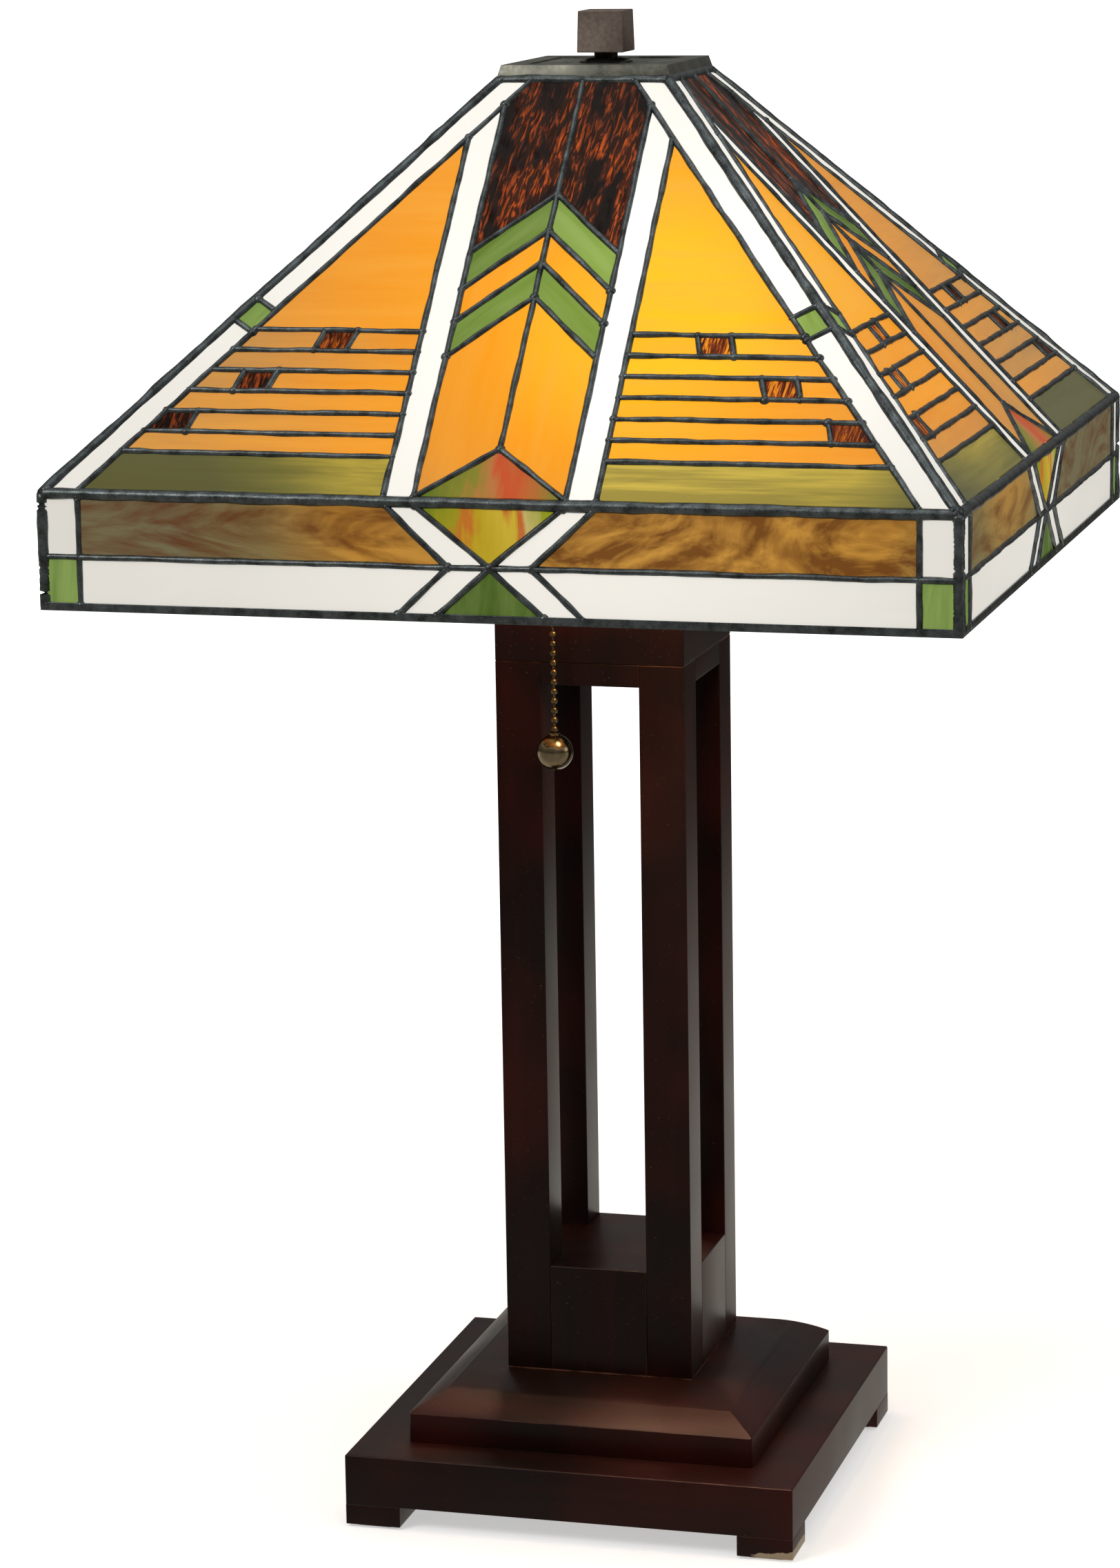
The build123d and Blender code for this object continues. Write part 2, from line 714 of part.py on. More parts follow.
tops = chevron_tops
panel_top = slope_length
slope_panes = {
    "white_glass": mirrored([
        [(hip_across(knee_line, edge_line), knee_line), hip_point(hip_square_low, edge_line),
         hip_point(hip_square_low, strip_width), (hip_across(knee_line, strip_width), knee_line)],
        [hip_point(hip_square_high, edge_line), (hip_across(panel_top, edge_line), panel_top),
         (hip_across(panel_top, strip_width), panel_top), hip_point(hip_square_high, strip_width)],
        [(inner_strip_in, knee_line), (inner_strip_out, knee_line),
         (inner_strip_out, strip_height(inner_strip_out)), (inner_strip_in, strip_height(inner_strip_in))],
    ]),
    "green_glass": mirrored([
        [hip_point(hip_square_low, edge_line), hip_point(hip_square_high, edge_line),
         hip_point(hip_square_high, strip_width), hip_point(hip_square_low, strip_width)],
        chevron(tops[0], tops[1]),
        chevron(tops[2], tops[3]),
    ]),
    "amber_glass": mirrored([
        chevron(tops[1], tops[2]),
        [(0, tops[3]), (inner_strip_in, tops[3] - chevron_drop), (inner_strip_in, knee_line),
         (0, fan_top)],
        [(inner_strip_out, strip_height(inner_strip_out)), (inner_strip_out, row_line(6)),
         (hip_across(row_line(6), strip_width), row_line(6))],
        row(5, top_row_blocks[0]),
        block(5, top_row_blocks[1]),
        row(4),
        row(3, middle_row_blocks[0]),
        block(3, middle_row_blocks[1]),
        row(2),
        row(1, low_row_block),
        row(0),
    ]),
    "brown_glass": mirrored([
        [(0, tops[0]), (inner_strip_in, tops[0] - chevron_drop),
         (inner_strip_in, strip_height(inner_strip_in)), (hip_across(panel_top, strip_width), panel_top),
         (0, panel_top)],
        block(5, *top_row_blocks),
        block(3, *middle_row_blocks),
        block(1, low_row_block),
    ]),
    "olive_glass": mirrored([
        [(inner_strip_out, knee_line), (hip_across(knee_line, strip_width), knee_line),
         (hip_across(olive_top, strip_width), olive_top), (inner_strip_out, olive_top)],
    ]),
    "sunset_glass": [[(-inner_strip_in, knee_line), (inner_strip_in, knee_line), (0, fan_top)]],
    "swirl_glass": [],
}

skirt_top = skirt_height - knee_line
corner_edge = shade_half - edge_line
skirt_panes = {
    "white_glass": mirrored([
        [(corner_column, skirt_middle), (corner_edge, skirt_middle), (corner_edge, skirt_top),
         (corner_column, skirt_top)],
        [(upper_fan, skirt_top), (0, skirt_middle), (brace_foot, skirt_middle), (upper_brace, skirt_top)],
        [(0, skirt_middle), (lower_fan, rim_line), (lower_brace, rim_line), (brace_foot, skirt_middle)],
        [(brace_foot, skirt_middle), (lower_brace, rim_line), (corner_column, rim_line),
         (corner_column, skirt_middle)],
    ]),
    "green_glass": mirrored([
        [(corner_column, rim_line), (corner_edge, rim_line), (corner_edge, skirt_middle),
         (corner_column, skirt_middle)],
    ]) + [[(-lower_fan, rim_line), (lower_fan, rim_line), (0, skirt_middle)]],
    "amber_glass": [],
    "brown_glass": [],
    "olive_glass": [],
    "sunset_glass": [[(-upper_fan, skirt_top), (0, skirt_middle), (upper_fan, skirt_top)]],
    "swirl_glass": mirrored([
        [(upper_brace, skirt_top), (brace_foot, skirt_middle), (corner_column, skirt_middle),
         (corner_column, skirt_top)],
    ]),
}


def pane(outline):
    """One pane's outline, cut back from the middles of its lead lines by half their width."""
    with BuildSketch() as sketch:
        Polygon(*outline, align=None)
        offset(amount=-line_width / 2, kind=Kind.INTERSECTION, mode=Mode.REPLACE)
    return sketch.sketch


def came(side, section, face, panes, name):
    """The leading of one panel: a mitred slab with a window for each of its panes."""
    with BuildPart() as leading:
        with BuildSketch(Plane(origin=(0, 0, 0), x_dir=outward(side), z_dir=-along(side))):
            Polygon(*section, align=None)
        extrude(amount=shade_half + came_thickness, both=True)
        for hip in (outward(side) - along(side), outward(side) + along(side)):
            split(bisect_by=Plane(origin=(0, 0, 0), z_dir=hip), keep=Keep.TOP)
        with BuildSketch(face):
            for outline in sum(panes.values(), []):
                add(pane(outline))
        extrude(amount=-2 * came_thickness, mode=Mode.SUBTRACT)
    finish(leading.part, name)


# the slope and the skirt meet at the knee on the bisector of their inner faces
inner_half = shade_half - came_thickness
knee_inner = knee_height + came_thickness * (slope_run - 1) / slope_climb
top_inner = slope_top_half - came_thickness / slope_climb
channel_floor = skirt_bottom + rim_wall
slope_section = [(shade_half, knee_height), (slope_top_half, slope_top), (top_inner, slope_top),
                 (inner_half, knee_inner)]
skirt_section = [(shade_half, channel_floor), (shade_half, knee_height), (inner_half, knee_inner),
                 (inner_half, channel_floor)]

for side, side_name in enumerate(SIDES):
    came(side, slope_section, slope_plane(side), slope_panes, f"slope_came_{side_name}")
    came(side, skirt_section, skirt_plane(side), skirt_panes, f"skirt_came_{side_name}")

for colour in slope_panes:
    with BuildPart() as glass:
        for side in range(len(SIDES)):
            for face, panes in ((slope_plane(side), slope_panes), (skirt_plane(side), skirt_panes)):
                if panes[colour]:
                    with BuildSketch(face.offset(-glass_recess)):
                        for outline in panes[colour]:
                            add(pane(outline))
                    extrude(amount=-glass_thickness)
    finish(glass.part, colour)

with BuildPart() as rim_channel:
    with BuildSketch(Plane.XY.offset(skirt_bottom)):
        Rectangle(2 * (shade_half + rim_wall), 2 * (shade_half + rim_wall))
        Rectangle(2 * (inner_half - rim_wall), 2 * (inner_half - rim_wall), mode=Mode.SUBTRACT)
    extrude(amount=rim_height)
    with BuildSketch(Plane.XY.offset(channel_floor)):
        Rectangle(2 * shade_half, 2 * shade_half)
        Rectangle(2 * inner_half, 2 * inner_half, mode=Mode.SUBTRACT)
    extrude(amount=rim_height, mode=Mode.SUBTRACT)
finish(rim_channel.part, "rim_channel")

with BuildPart() as shade_cap:
    with BuildSketch(Plane.XY.offset(slope_top)):
        Rectangle(2 * cap_flange_half, 2 * cap_flange_half)
    with BuildSketch(Plane.XY.offset(cap_top)):
        Rectangle(2 * cap_half, 2 * cap_half)
    loft()
    with BuildSketch(Plane.XY.offset(slope_top)):
        Rectangle(2 * (cap_flange_half - cap_sheet), 2 * (cap_flange_half - cap_sheet))
    with BuildSketch(Plane.XY.offset(cap_underside)):
        Rectangle(2 * (cap_half - cap_sheet), 2 * (cap_half - cap_sheet))
    loft(mode=Mode.SUBTRACT)
    with BuildSketch(Plane.XY.offset(dish_floor)):
        Rectangle(2 * cap_dish_half, 2 * cap_dish_half)
    extrude(amount=cap_dish_depth, mode=Mode.SUBTRACT)
    with BuildSketch(Plane.XY.offset(cap_underside)):
        Circle(cap_hole / 2)
        with PolarLocations(vent_circle, 4):
            Circle(vent_diameter / 2)
        with GridLocations(vent_spacing, vent_spacing, 2, 2):
            Circle(vent_diameter / 2)
    extrude(amount=cap_sheet + cap_dish_depth, mode=Mode.SUBTRACT)
finish(shade_cap.part, "shade_cap")

# ================================================================ finial
with BuildPart() as finial_washer:
    with BuildSketch(Plane.XY.offset(dish_floor)):
        Circle(finial_washer_diameter / 2)
        Circle(finial_neck_diameter / 2, mode=Mode.SUBTRACT)
    extrude(amount=finial_washer_height)
    fillet(finial_washer.edges().sort_by(Axis.Z)[-1], radius=finial_washer_height / 3)
finish(finial_washer.part, "finial_washer")

with BuildPart() as finial_insert:
    with BuildSketch(Plane.XY.offset(dish_floor)):
        Circle(finial_neck_diameter / 2)
        Circle(pipe_radius + finial_thread_clearance, mode=Mode.SUBTRACT)
    extrude(amount=finial_bottom - dish_floor + finial_bore_depth)
finish(finial_insert.part, "finial_insert")

with BuildPart() as finial_block:
    with BuildSketch(Plane.XY.offset(finial_bottom)):
        Rectangle(finial_bottom_size, finial_bottom_size)
    with BuildSketch(Plane.XY.offset(finial_top)):
        Rectangle(finial_top_size, finial_top_size)
    loft()
    fillet(finial_block.edges(), radius=wood_edge_round)
    with BuildSketch(Plane.XY.offset(finial_bottom)):
        Circle(finial_neck_diameter / 2)
    extrude(amount=finial_bore_depth, mode=Mode.SUBTRACT)
finish(finial_block.part, "finial_block")
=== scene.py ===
"""Looks of a table lamp with a wooden pillar base and a four-sided leaded glass shade.

Metres, +Z up, the middle of the base at the origin, -Y to the front, +X to the right.
"""
import math
import random

import bmesh
import bpy
from mathutils import Matrix, Vector, noise


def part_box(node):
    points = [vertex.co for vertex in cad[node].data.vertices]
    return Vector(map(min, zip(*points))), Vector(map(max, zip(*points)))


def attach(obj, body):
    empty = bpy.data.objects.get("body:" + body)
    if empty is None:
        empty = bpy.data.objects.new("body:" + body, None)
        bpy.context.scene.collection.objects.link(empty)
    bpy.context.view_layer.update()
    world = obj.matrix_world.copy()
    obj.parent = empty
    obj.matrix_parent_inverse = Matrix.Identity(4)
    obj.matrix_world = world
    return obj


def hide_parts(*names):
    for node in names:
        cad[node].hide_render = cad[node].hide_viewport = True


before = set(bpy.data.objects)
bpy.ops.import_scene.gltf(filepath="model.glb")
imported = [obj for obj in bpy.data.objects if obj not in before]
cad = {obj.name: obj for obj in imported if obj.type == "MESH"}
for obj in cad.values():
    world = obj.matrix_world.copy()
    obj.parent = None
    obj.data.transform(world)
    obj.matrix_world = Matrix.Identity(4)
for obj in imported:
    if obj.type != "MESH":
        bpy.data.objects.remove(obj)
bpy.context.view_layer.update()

MM = 0.001
FLOOR_REACH = 40.0
TURNS = [Matrix.Rotation(math.radians(90 * side), 4, "Z") for side in range(4)]
SIDE_NAMES = ("front", "right", "rear", "left")
CORNERS = ((-1, -1), (1, -1), (1, 1), (-1, 1))


def rgb(red, green, blue):
    """A colour given in the usual 0 to 255 steps, as the light it stands for."""
    return tuple(((c / 255 + 0.055) / 1.055) ** 2.4 if c > 10 else c / 255 / 12.92
                 for c in (red, green, blue)) + (1.0,)


# ---------------------------------------------------------------- camera, lights, floor
def studio():
    """The camera, a pale floor and soft lights round the lamp."""
    scene = bpy.context.scene
    scene.view_settings.view_transform = "Standard"
    lens = bpy.data.cameras.new("camera")
    lens.lens = 110.78
    lens.sensor_width = 36
    camera = bpy.data.objects.new("camera", lens)
    camera.matrix_world = Matrix(((0.963542, -0.038647, 0.264752, 0.54463),
                                  (0.267088, 0.197586, -0.943199, -2.03265),
                                  (-0.015859, 0.979524, 0.200704, 0.75160),
                                  (0, 0, 0, 1)))
    scene.collection.objects.link(camera)
    scene.camera = camera

    world = bpy.data.worlds.new("studio")
    scene.world = world
    world.use_nodes = True
    nodes, links = world.node_tree.nodes, world.node_tree.links
    nodes.clear()
    place, apart, ramp, seen, light, pale, either, out = (
        nodes.new("ShaderNode" + kind) for kind in (
            "TexCoord", "SeparateXYZ", "MapRange", "LightPath", "Background", "Background",
            "MixShader", "OutputWorld"))
    links.new(place.outputs["Generated"], apart.inputs[0])
    links.new(apart.outputs["Z"], ramp.inputs["Value"])
    for name, value in (("From Min", 0.05), ("From Max", 0.75),
                        ("To Min", 0.12), ("To Max", 0.42)):
        ramp.inputs[name].default_value = value
    links.new(ramp.outputs["Result"], light.inputs["Strength"])
    light.inputs["Color"].default_value = (1.0, 0.985, 0.96, 1)
    pale.inputs["Color"].default_value = (0.95, 0.95, 0.945, 1)
    links.new(seen.outputs["Is Camera Ray"], either.inputs[0])
    links.new(light.outputs[0], either.inputs[1])
    links.new(pale.outputs[0], either.inputs[2])
    links.new(either.outputs[0], out.inputs["Surface"])

    aim = Vector((0, 0, 0.35))
    for name, stand, size, power, colour in (
            ("key", (-1.5, -2.0, 2.3), 1.1, 30, (1.0, 0.97, 0.93)),
            ("side", (2.3, 0.2, 1.2), 1.2, 8, (1.0, 0.98, 0.94)),
            ("top", (0.2, -0.3, 2.6), 1.6, 10, (1.0, 1.0, 1.0))):
        lamp = bpy.data.lights.new(name, "AREA")
        lamp.size = size
        lamp.energy = power
        lamp.color = colour
        ob = bpy.data.objects.new(name, lamp)
        ob.location = stand
        ob.rotation_euler = (aim - Vector(stand)).to_track_quat("-Z", "Y").to_euler()
        scene.collection.objects.link(ob)

    floor = bpy.data.meshes.new("floor")
    floor.from_pydata([(x * FLOOR_REACH, y * FLOOR_REACH, 0) for x, y in CORNERS],
                      [], [(0, 1, 2, 3)])
    floor.materials.append(floor_paper())
    ground = bpy.data.objects.new("floor", floor)
    scene.collection.objects.link(ground)


# ---------------------------------------------------------------- shader maths
class Wire:
    """A socket in a finish's nodes that takes part in arithmetic."""

    def __init__(self, finish, socket):
        self.finish, self.socket = finish, socket

    def math(self, operation, *values):
        return self.finish.node("Math", {"operation": operation}, dict(enumerate(values)))

    def __add__(self, other):
        return self.math("ADD", self, other)

    def __sub__(self, other):
        return self.math("SUBTRACT", self, other)

    def __rsub__(self, other):
        return self.math("SUBTRACT", other, self)

    def __mul__(self, other):
        return self.math("MULTIPLY", self, other)

    def __truediv__(self, other):
        return self.math("DIVIDE", self, other)

    def __rtruediv__(self, other):
        return self.math("DIVIDE", other, self)

    def __pow__(self, other):
        return self.math("POWER", self, other)

    __radd__, __rmul__ = __add__, __mul__


class Finish:
    """A material and the nodes it is made of."""

    def __init__(self, name, **constants):
        self.material = bpy.data.materials.new(name)
        self.material.use_nodes = True
        self.tree = self.material.node_tree
        self.shader = self.tree.nodes["Principled BSDF"]
        for socket, value in constants.items():
            self.shader.inputs[socket.replace("_", " ")].default_value = value
        self.place = self.node("TexCoord", out="Object")

    def node(self, kind, settings=None, values=None, out=0):
        """Any node: its settings first, then the values or links of its sockets."""
        made = self.tree.nodes.new("ShaderNode" + kind)
        for name, value in (settings or {}).items():
            if name == "stops":
                ramp = made.color_ramp
                while len(ramp.elements) < len(value):
                    ramp.elements.new(0.5)
                for element, (at, colour) in zip(ramp.elements, value):
                    element.position, element.color = at, colour
            else:
                setattr(made, name, value)
        for name, value in (values or {}).items():
            if isinstance(value, Wire):
                self.tree.links.new(value.socket, made.inputs[name])
            else:
                made.inputs[name].default_value = value
        return Wire(self, made.outputs[out])

    def noise(self, scale, detail=3.0, at=None, stretch=None, rough=0.55, twist=0.0):
        """Soft noise from 0 to 1, stretched where its scale differs along the axes."""
        at = at or self.place
        if stretch:
            at = self.node("Mapping", {}, {"Vector": at, "Scale": stretch})
        return self.node("TexNoise", {}, {"Vector": at, "Scale": scale, "Detail": detail,
                                          "Roughness": rough, "Distortion": twist})

    def ramp(self, value, *stops):
        return self.node("ValToRGB", {"stops": stops}, {0: value})

    def span(self, value, low, high, start=0.0, end=1.0):
        """A value's range low to high taken to start to end, and held there."""
        return self.node("MapRange", {}, {0: value, 1: low, 2: high, 3: start, 4: end})

    def mix(self, amount, first, second, blend="MIX"):
        return self.node("Mix", {"data_type": "RGBA", "blend_type": blend},
                         {0: amount, 6: first, 7: second}, out=2)

    def dimmed(self, colour, by):
        """A colour times a number."""
        grey = self.node("CombineColor", {}, {0: by, 1: by, 2: by})
        return self.mix(1.0, colour, grey, blend="MULTIPLY")

    def bump(self, height, strength, distance):
        return self.node("Bump", {}, {"Strength": strength, "Distance": distance,
                                      "Height": height})

    def feed(self, **wires):
        for socket, wire in wires.items():
            self.tree.links.new(wire.socket, self.shader.inputs[socket.replace("_", " ")])
        return self.material


def floor_paper():
    """White paper, even and bright far off; the lamp is lit by it mostly from behind."""
    f = Finish("floor_paper", Base_Color=(0.95, 0.95, 0.95, 1), Roughness=0.9,
               Specular_IOR_Level=0.0, Emission_Strength=1.0)
    away = f.node("VectorMath", {"operation": "LENGTH"}, {0: f.place}, out="Value")
    behind = f.node("SeparateXYZ", {}, {0: f.place}, out=1)
    seen = f.node("LightPath")
    near = f.span(away, 0.25, 1.2, 0.5, 1.0)
    f.feed(Emission_Color=f.node("CombineColor", {}, {0: near, 1: near, 2: near}))
    bright = f.span(behind, -0.4, 0.3, 0.36, 0.86) * f.span(behind, 0.6, 1.7, 1.0, 0.07)
    glow = f.node("Emission", {}, {"Color": (1.0, 0.94, 0.84, 1), "Strength": bright})
    both = f.node("MixShader", {}, {0: seen, 1: glow, 2: Wire(f, f.shader.outputs[0])})
    f.tree.links.new(both.socket, f.tree.nodes["Material Output"].inputs["Surface"])
    return f.material


studio()


# ---------------------------------------------------------------- meshes and pieces
def piece(name, mesh, body, finish, nodes=()):
    """A finished mesh as a piece that moves with a body, in place of CAD nodes."""
    mesh.name = name
    mesh.materials.clear()
    mesh.materials.append(finish)
    ob = bpy.data.objects.new(name, mesh)
    bpy.context.scene.collection.objects.link(ob)
    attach(ob, body)
    if nodes:
        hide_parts(*nodes)
    return ob


def merged(node):
    """A CAD node's shape with its triangles joined up and its flat faces whole."""
    shape = bmesh.new()
    shape.from_mesh(cad[node].data)
    bmesh.ops.remove_doubles(shape, verts=shape.verts, dist=1e-6)
    bmesh.ops.dissolve_limit(shape, angle_limit=math.radians(1), verts=shape.verts,
                             edges=shape.edges)
    return shape


def to_mesh(shape, smooth=30):
    """A plain mesh from a shape, shaded smooth up to an angle between its faces."""
    mesh = bpy.data.meshes.new("work")
    shape.to_mesh(mesh)
    shape.free()
    mesh.polygons.foreach_set("use_smooth", [True] * len(mesh.polygons))
    mesh.set_sharp_from_angle(angle=math.radians(smooth))
    return mesh


def softened(node, radius):
    """A CAD node's shape with its sharp edges rounded over; the rounds are marked as worn."""
    shape = merged(node)
    worn = shape.faces.layers.float.new("wear")
    sharp = [e for e in shape.edges if len(e.link_faces) == 2
             and e.calc_face_angle(0) > math.radians(35)]
    made = bmesh.ops.bevel(shape, geom=sharp, offset=radius, segments=2, profile=0.6,
                           affect="EDGES", clamp_overlap=True)
    for face in made["faces"]:
        face[worn] = 1.0
    return to_mesh(shape, smooth=40)


def turned(profile, origin, axis, steps=40):
    """A closed shape turned about an axis from pairs of radius and distance along it."""
    axis = Vector(axis).normalized()
    across = axis.orthogonal().normalized()
    shape = bmesh.new()
    rings = []
    for radius, along in profile:
        middle = Vector(origin) + axis * along
        if radius < 1e-7:
            rings.append([shape.verts.new(middle)])
            continue
        rings.append([shape.verts.new(
            middle + Matrix.Rotation(math.tau * k / steps, 3, axis) @ across * radius)
            for k in range(steps)])
    for low, high in zip(rings, rings[1:]):
        for k in range(steps):
            corners = [low[k % len(low)], low[(k + 1) % len(low)],
                       high[(k + 1) % len(high)], high[k % len(high)]]
            shape.faces.new(list(dict.fromkeys(corners)))
    for ring, turn in ((rings[0], -1), (rings[-1], 1)):
        if len(ring) > 1:
            shape.faces.new(ring[::turn])
    bmesh.ops.recalc_face_normals(shape, faces=shape.faces)
    return shape


def joined(meshes):
    """One shape from several meshes."""
    shape = bmesh.new()
    for mesh in meshes:
        shape.from_mesh(mesh)
        bpy.data.meshes.remove(mesh)
    return shape


class Grower:
    """A tree of Geometry Nodes with named inputs, ended by Realize Instances and Set Material."""

    def __init__(self, name, **inputs):
        self.tree = bpy.data.node_groups.new(name, "GeometryNodeTree")
        face = self.tree.interface
        face.new_socket("Geometry", in_out="INPUT", socket_type="NodeSocketGeometry")
        for label, kind in inputs.items():
            face.new_socket(label.replace("_", " "), in_out="INPUT",
                            socket_type="NodeSocket" + kind)
        face.new_socket("Geometry", in_out="OUTPUT", socket_type="NodeSocketGeometry")
        self.start = self.tree.nodes.new("NodeGroupInput")

    def size(self, label):
        return self.start.outputs[label]

    def node(self, kind, settings=None, values=None, out=0):
        made = self.tree.nodes.new(kind)
        for name, value in (settings or {}).items():
            setattr(made, name, value)
        for name, value in (values or {}).items():
            if isinstance(value, bpy.types.NodeSocket):
                self.tree.links.new(value, made.inputs[name])
            else:
                made.inputs[name].default_value = value
        return made.outputs[out]

    def math(self, operation, first, second):
        return self.node("ShaderNodeMath", {"operation": operation}, {0: first, 1: second})

    def end(self, geometry):
        smooth = self.node("GeometryNodeSetShadeSmooth", {}, {0: geometry})
        real = self.node("GeometryNodeRealizeInstances", {}, {0: smooth})
        done = self.node("GeometryNodeSetMaterial", {},
                         {0: real, "Material": self.size("Finish")})
        out = self.tree.nodes.new("NodeGroupOutput")
        self.tree.links.new(done, out.inputs[0])
        return self.tree


def grown(tree, mesh, **sizes):
    """The plain mesh that a tree makes from a mesh."""
    ob = bpy.data.objects.new("work", mesh)
    bpy.context.scene.collection.objects.link(ob)
    way = ob.modifiers.new("work", "NODES")
    way.node_group = tree
    for item in tree.interface.items_tree:
        if item.in_out == "INPUT" and item.name.replace(" ", "_") in sizes:
            way[item.identifier] = sizes[item.name.replace(" ", "_")]
    bpy.context.view_layer.update()
    made = bpy.data.meshes.new_from_object(
        ob.evaluated_get(bpy.context.evaluated_depsgraph_get()))
    bpy.data.objects.remove(ob)
    bpy.data.meshes.remove(mesh)
    return made


def lines_mesh(lines):
    """A mesh of loose straight edges."""
    mesh = bpy.data.meshes.new("work")
    points = [p for line in lines for p in line]
    mesh.from_pydata(points, [(k, k + 1) for k in range(0, len(points), 2)], [])
    return mesh


def bead_tree():
    """Hand run solder: a rounded bead along each edge, uneven in width and course."""
    g = Grower("solder_run", Half_Width="Float", Half_Height="Float", Step="Float",
               Unevenness="Float", Wander="Float", Seed="Float", Finish="Material")
    course = g.node("GeometryNodeMeshToCurve", {}, {0: g.size("Geometry")})
    course = g.node("GeometryNodeResampleCurve", {"mode": "LENGTH"},
                    {0: course, "Length": g.size("Step")})
    course = g.node("GeometryNodeSetCurveNormal", {"mode": "Z_UP"}, {0: course})
    place = g.node("GeometryNodeInputPosition")
    coarse = g.node("ShaderNodeTexNoise", {"noise_dimensions": "4D"},
                    {"Vector": place, "W": g.size("Seed"), "Scale": 70.0, "Detail": 3.0})
    sway = g.node("ShaderNodeTexNoise", {"noise_dimensions": "4D"},
                  {"Vector": place, "W": g.size("Seed"), "Scale": 45.0, "Detail": 1.0}, out="Color")
    sway = g.node("ShaderNodeVectorMath", {"operation": "SUBTRACT"},
                  {0: sway, 1: (0.5, 0.5, 0.5)})
    sway = g.node("ShaderNodeVectorMath", {"operation": "SCALE"},
                  {0: sway, "Scale": g.size("Wander")})
    course = g.node("GeometryNodeSetPosition", {}, {0: course, "Offset": sway})
    swell = g.math("MULTIPLY", g.math("SUBTRACT", coarse, 0.5), g.size("Unevenness"))
    swell = g.math("ADD", swell, 1.0)
    ring = g.node("GeometryNodeCurvePrimitiveCircle", {}, {"Resolution": 10, "Radius": 1.0})
    size = g.node("ShaderNodeCombineXYZ", {},
                  {0: g.size("Half Width"), 1: g.size("Half Height"), 2: 1.0})
    ring = g.node("GeometryNodeTransform", {}, {0: ring, "Scale": size})
    return g.end(g.node("GeometryNodeCurveToMesh", {},
                        {0: course, 1: ring, "Scale": swell, "Fill Caps": True}))


def blob_tree():
    """Drops of solder where leads meet, each its own size."""
    g = Grower("solder_joint", Radius="Float", Height="Float", Least="Float", Most="Float",
               Seed="Int", Finish="Material")
    drop = g.node("GeometryNodeMeshIcoSphere", {}, {"Radius": 1.0, "Subdivisions": 2})
    size = g.node("ShaderNodeCombineXYZ", {},
                  {0: g.size("Radius"), 1: g.size("Radius"), 2: g.size("Height")})
    drop = g.node("GeometryNodeTransform", {}, {0: drop, "Scale": size})
    wide = g.node("FunctionNodeRandomValue", {"data_type": "FLOAT"},
                  {2: g.size("Least"), 3: g.size("Most"), "Seed": g.size("Seed")}, out=1)
    tall = g.node("FunctionNodeRandomValue", {"data_type": "FLOAT"},
                  {2: 0.92, 3: 1.06, "Seed": g.size("Seed")}, out=1)
    scale = g.node("ShaderNodeCombineXYZ", {}, {0: wide, 1: wide, 2: tall})
    points = g.node("GeometryNodeMeshToPoints", {}, {0: g.size("Geometry")})
    return g.end(g.node("GeometryNodeInstanceOnPoints", {},
                        {0: points, "Instance": drop, "Scale": scale}))


def chain_tree():
    """Bead chain: round beads on every point, with a thin link run through them."""
    g = Grower("bead_chain", Bead_Radius="Float", Link_Radius="Float", Finish="Material")
    bead = g.node("GeometryNodeMeshUVSphere", {},
                  {"Segments": 12, "Rings": 8, "Radius": g.size("Bead Radius")})
    points = g.node("GeometryNodeMeshToPoints", {}, {0: g.size("Geometry")})
    beads = g.node("GeometryNodeInstanceOnPoints", {}, {0: points, "Instance": bead})
    wire = g.node("GeometryNodeMeshToCurve", {}, {0: g.size("Geometry")})
    ring = g.node("GeometryNodeCurvePrimitiveCircle", {},
                  {"Resolution": 8, "Radius": g.size("Link Radius")})
    link = g.node("GeometryNodeCurveToMesh", {}, {0: wire, 1: ring, "Fill Caps": True})
    both = g.node("GeometryNodeJoinGeometry", {}, {0: link})
    g.tree.links.new(beads, g.tree.nodes[-1].inputs[0])
    return g.end(both)


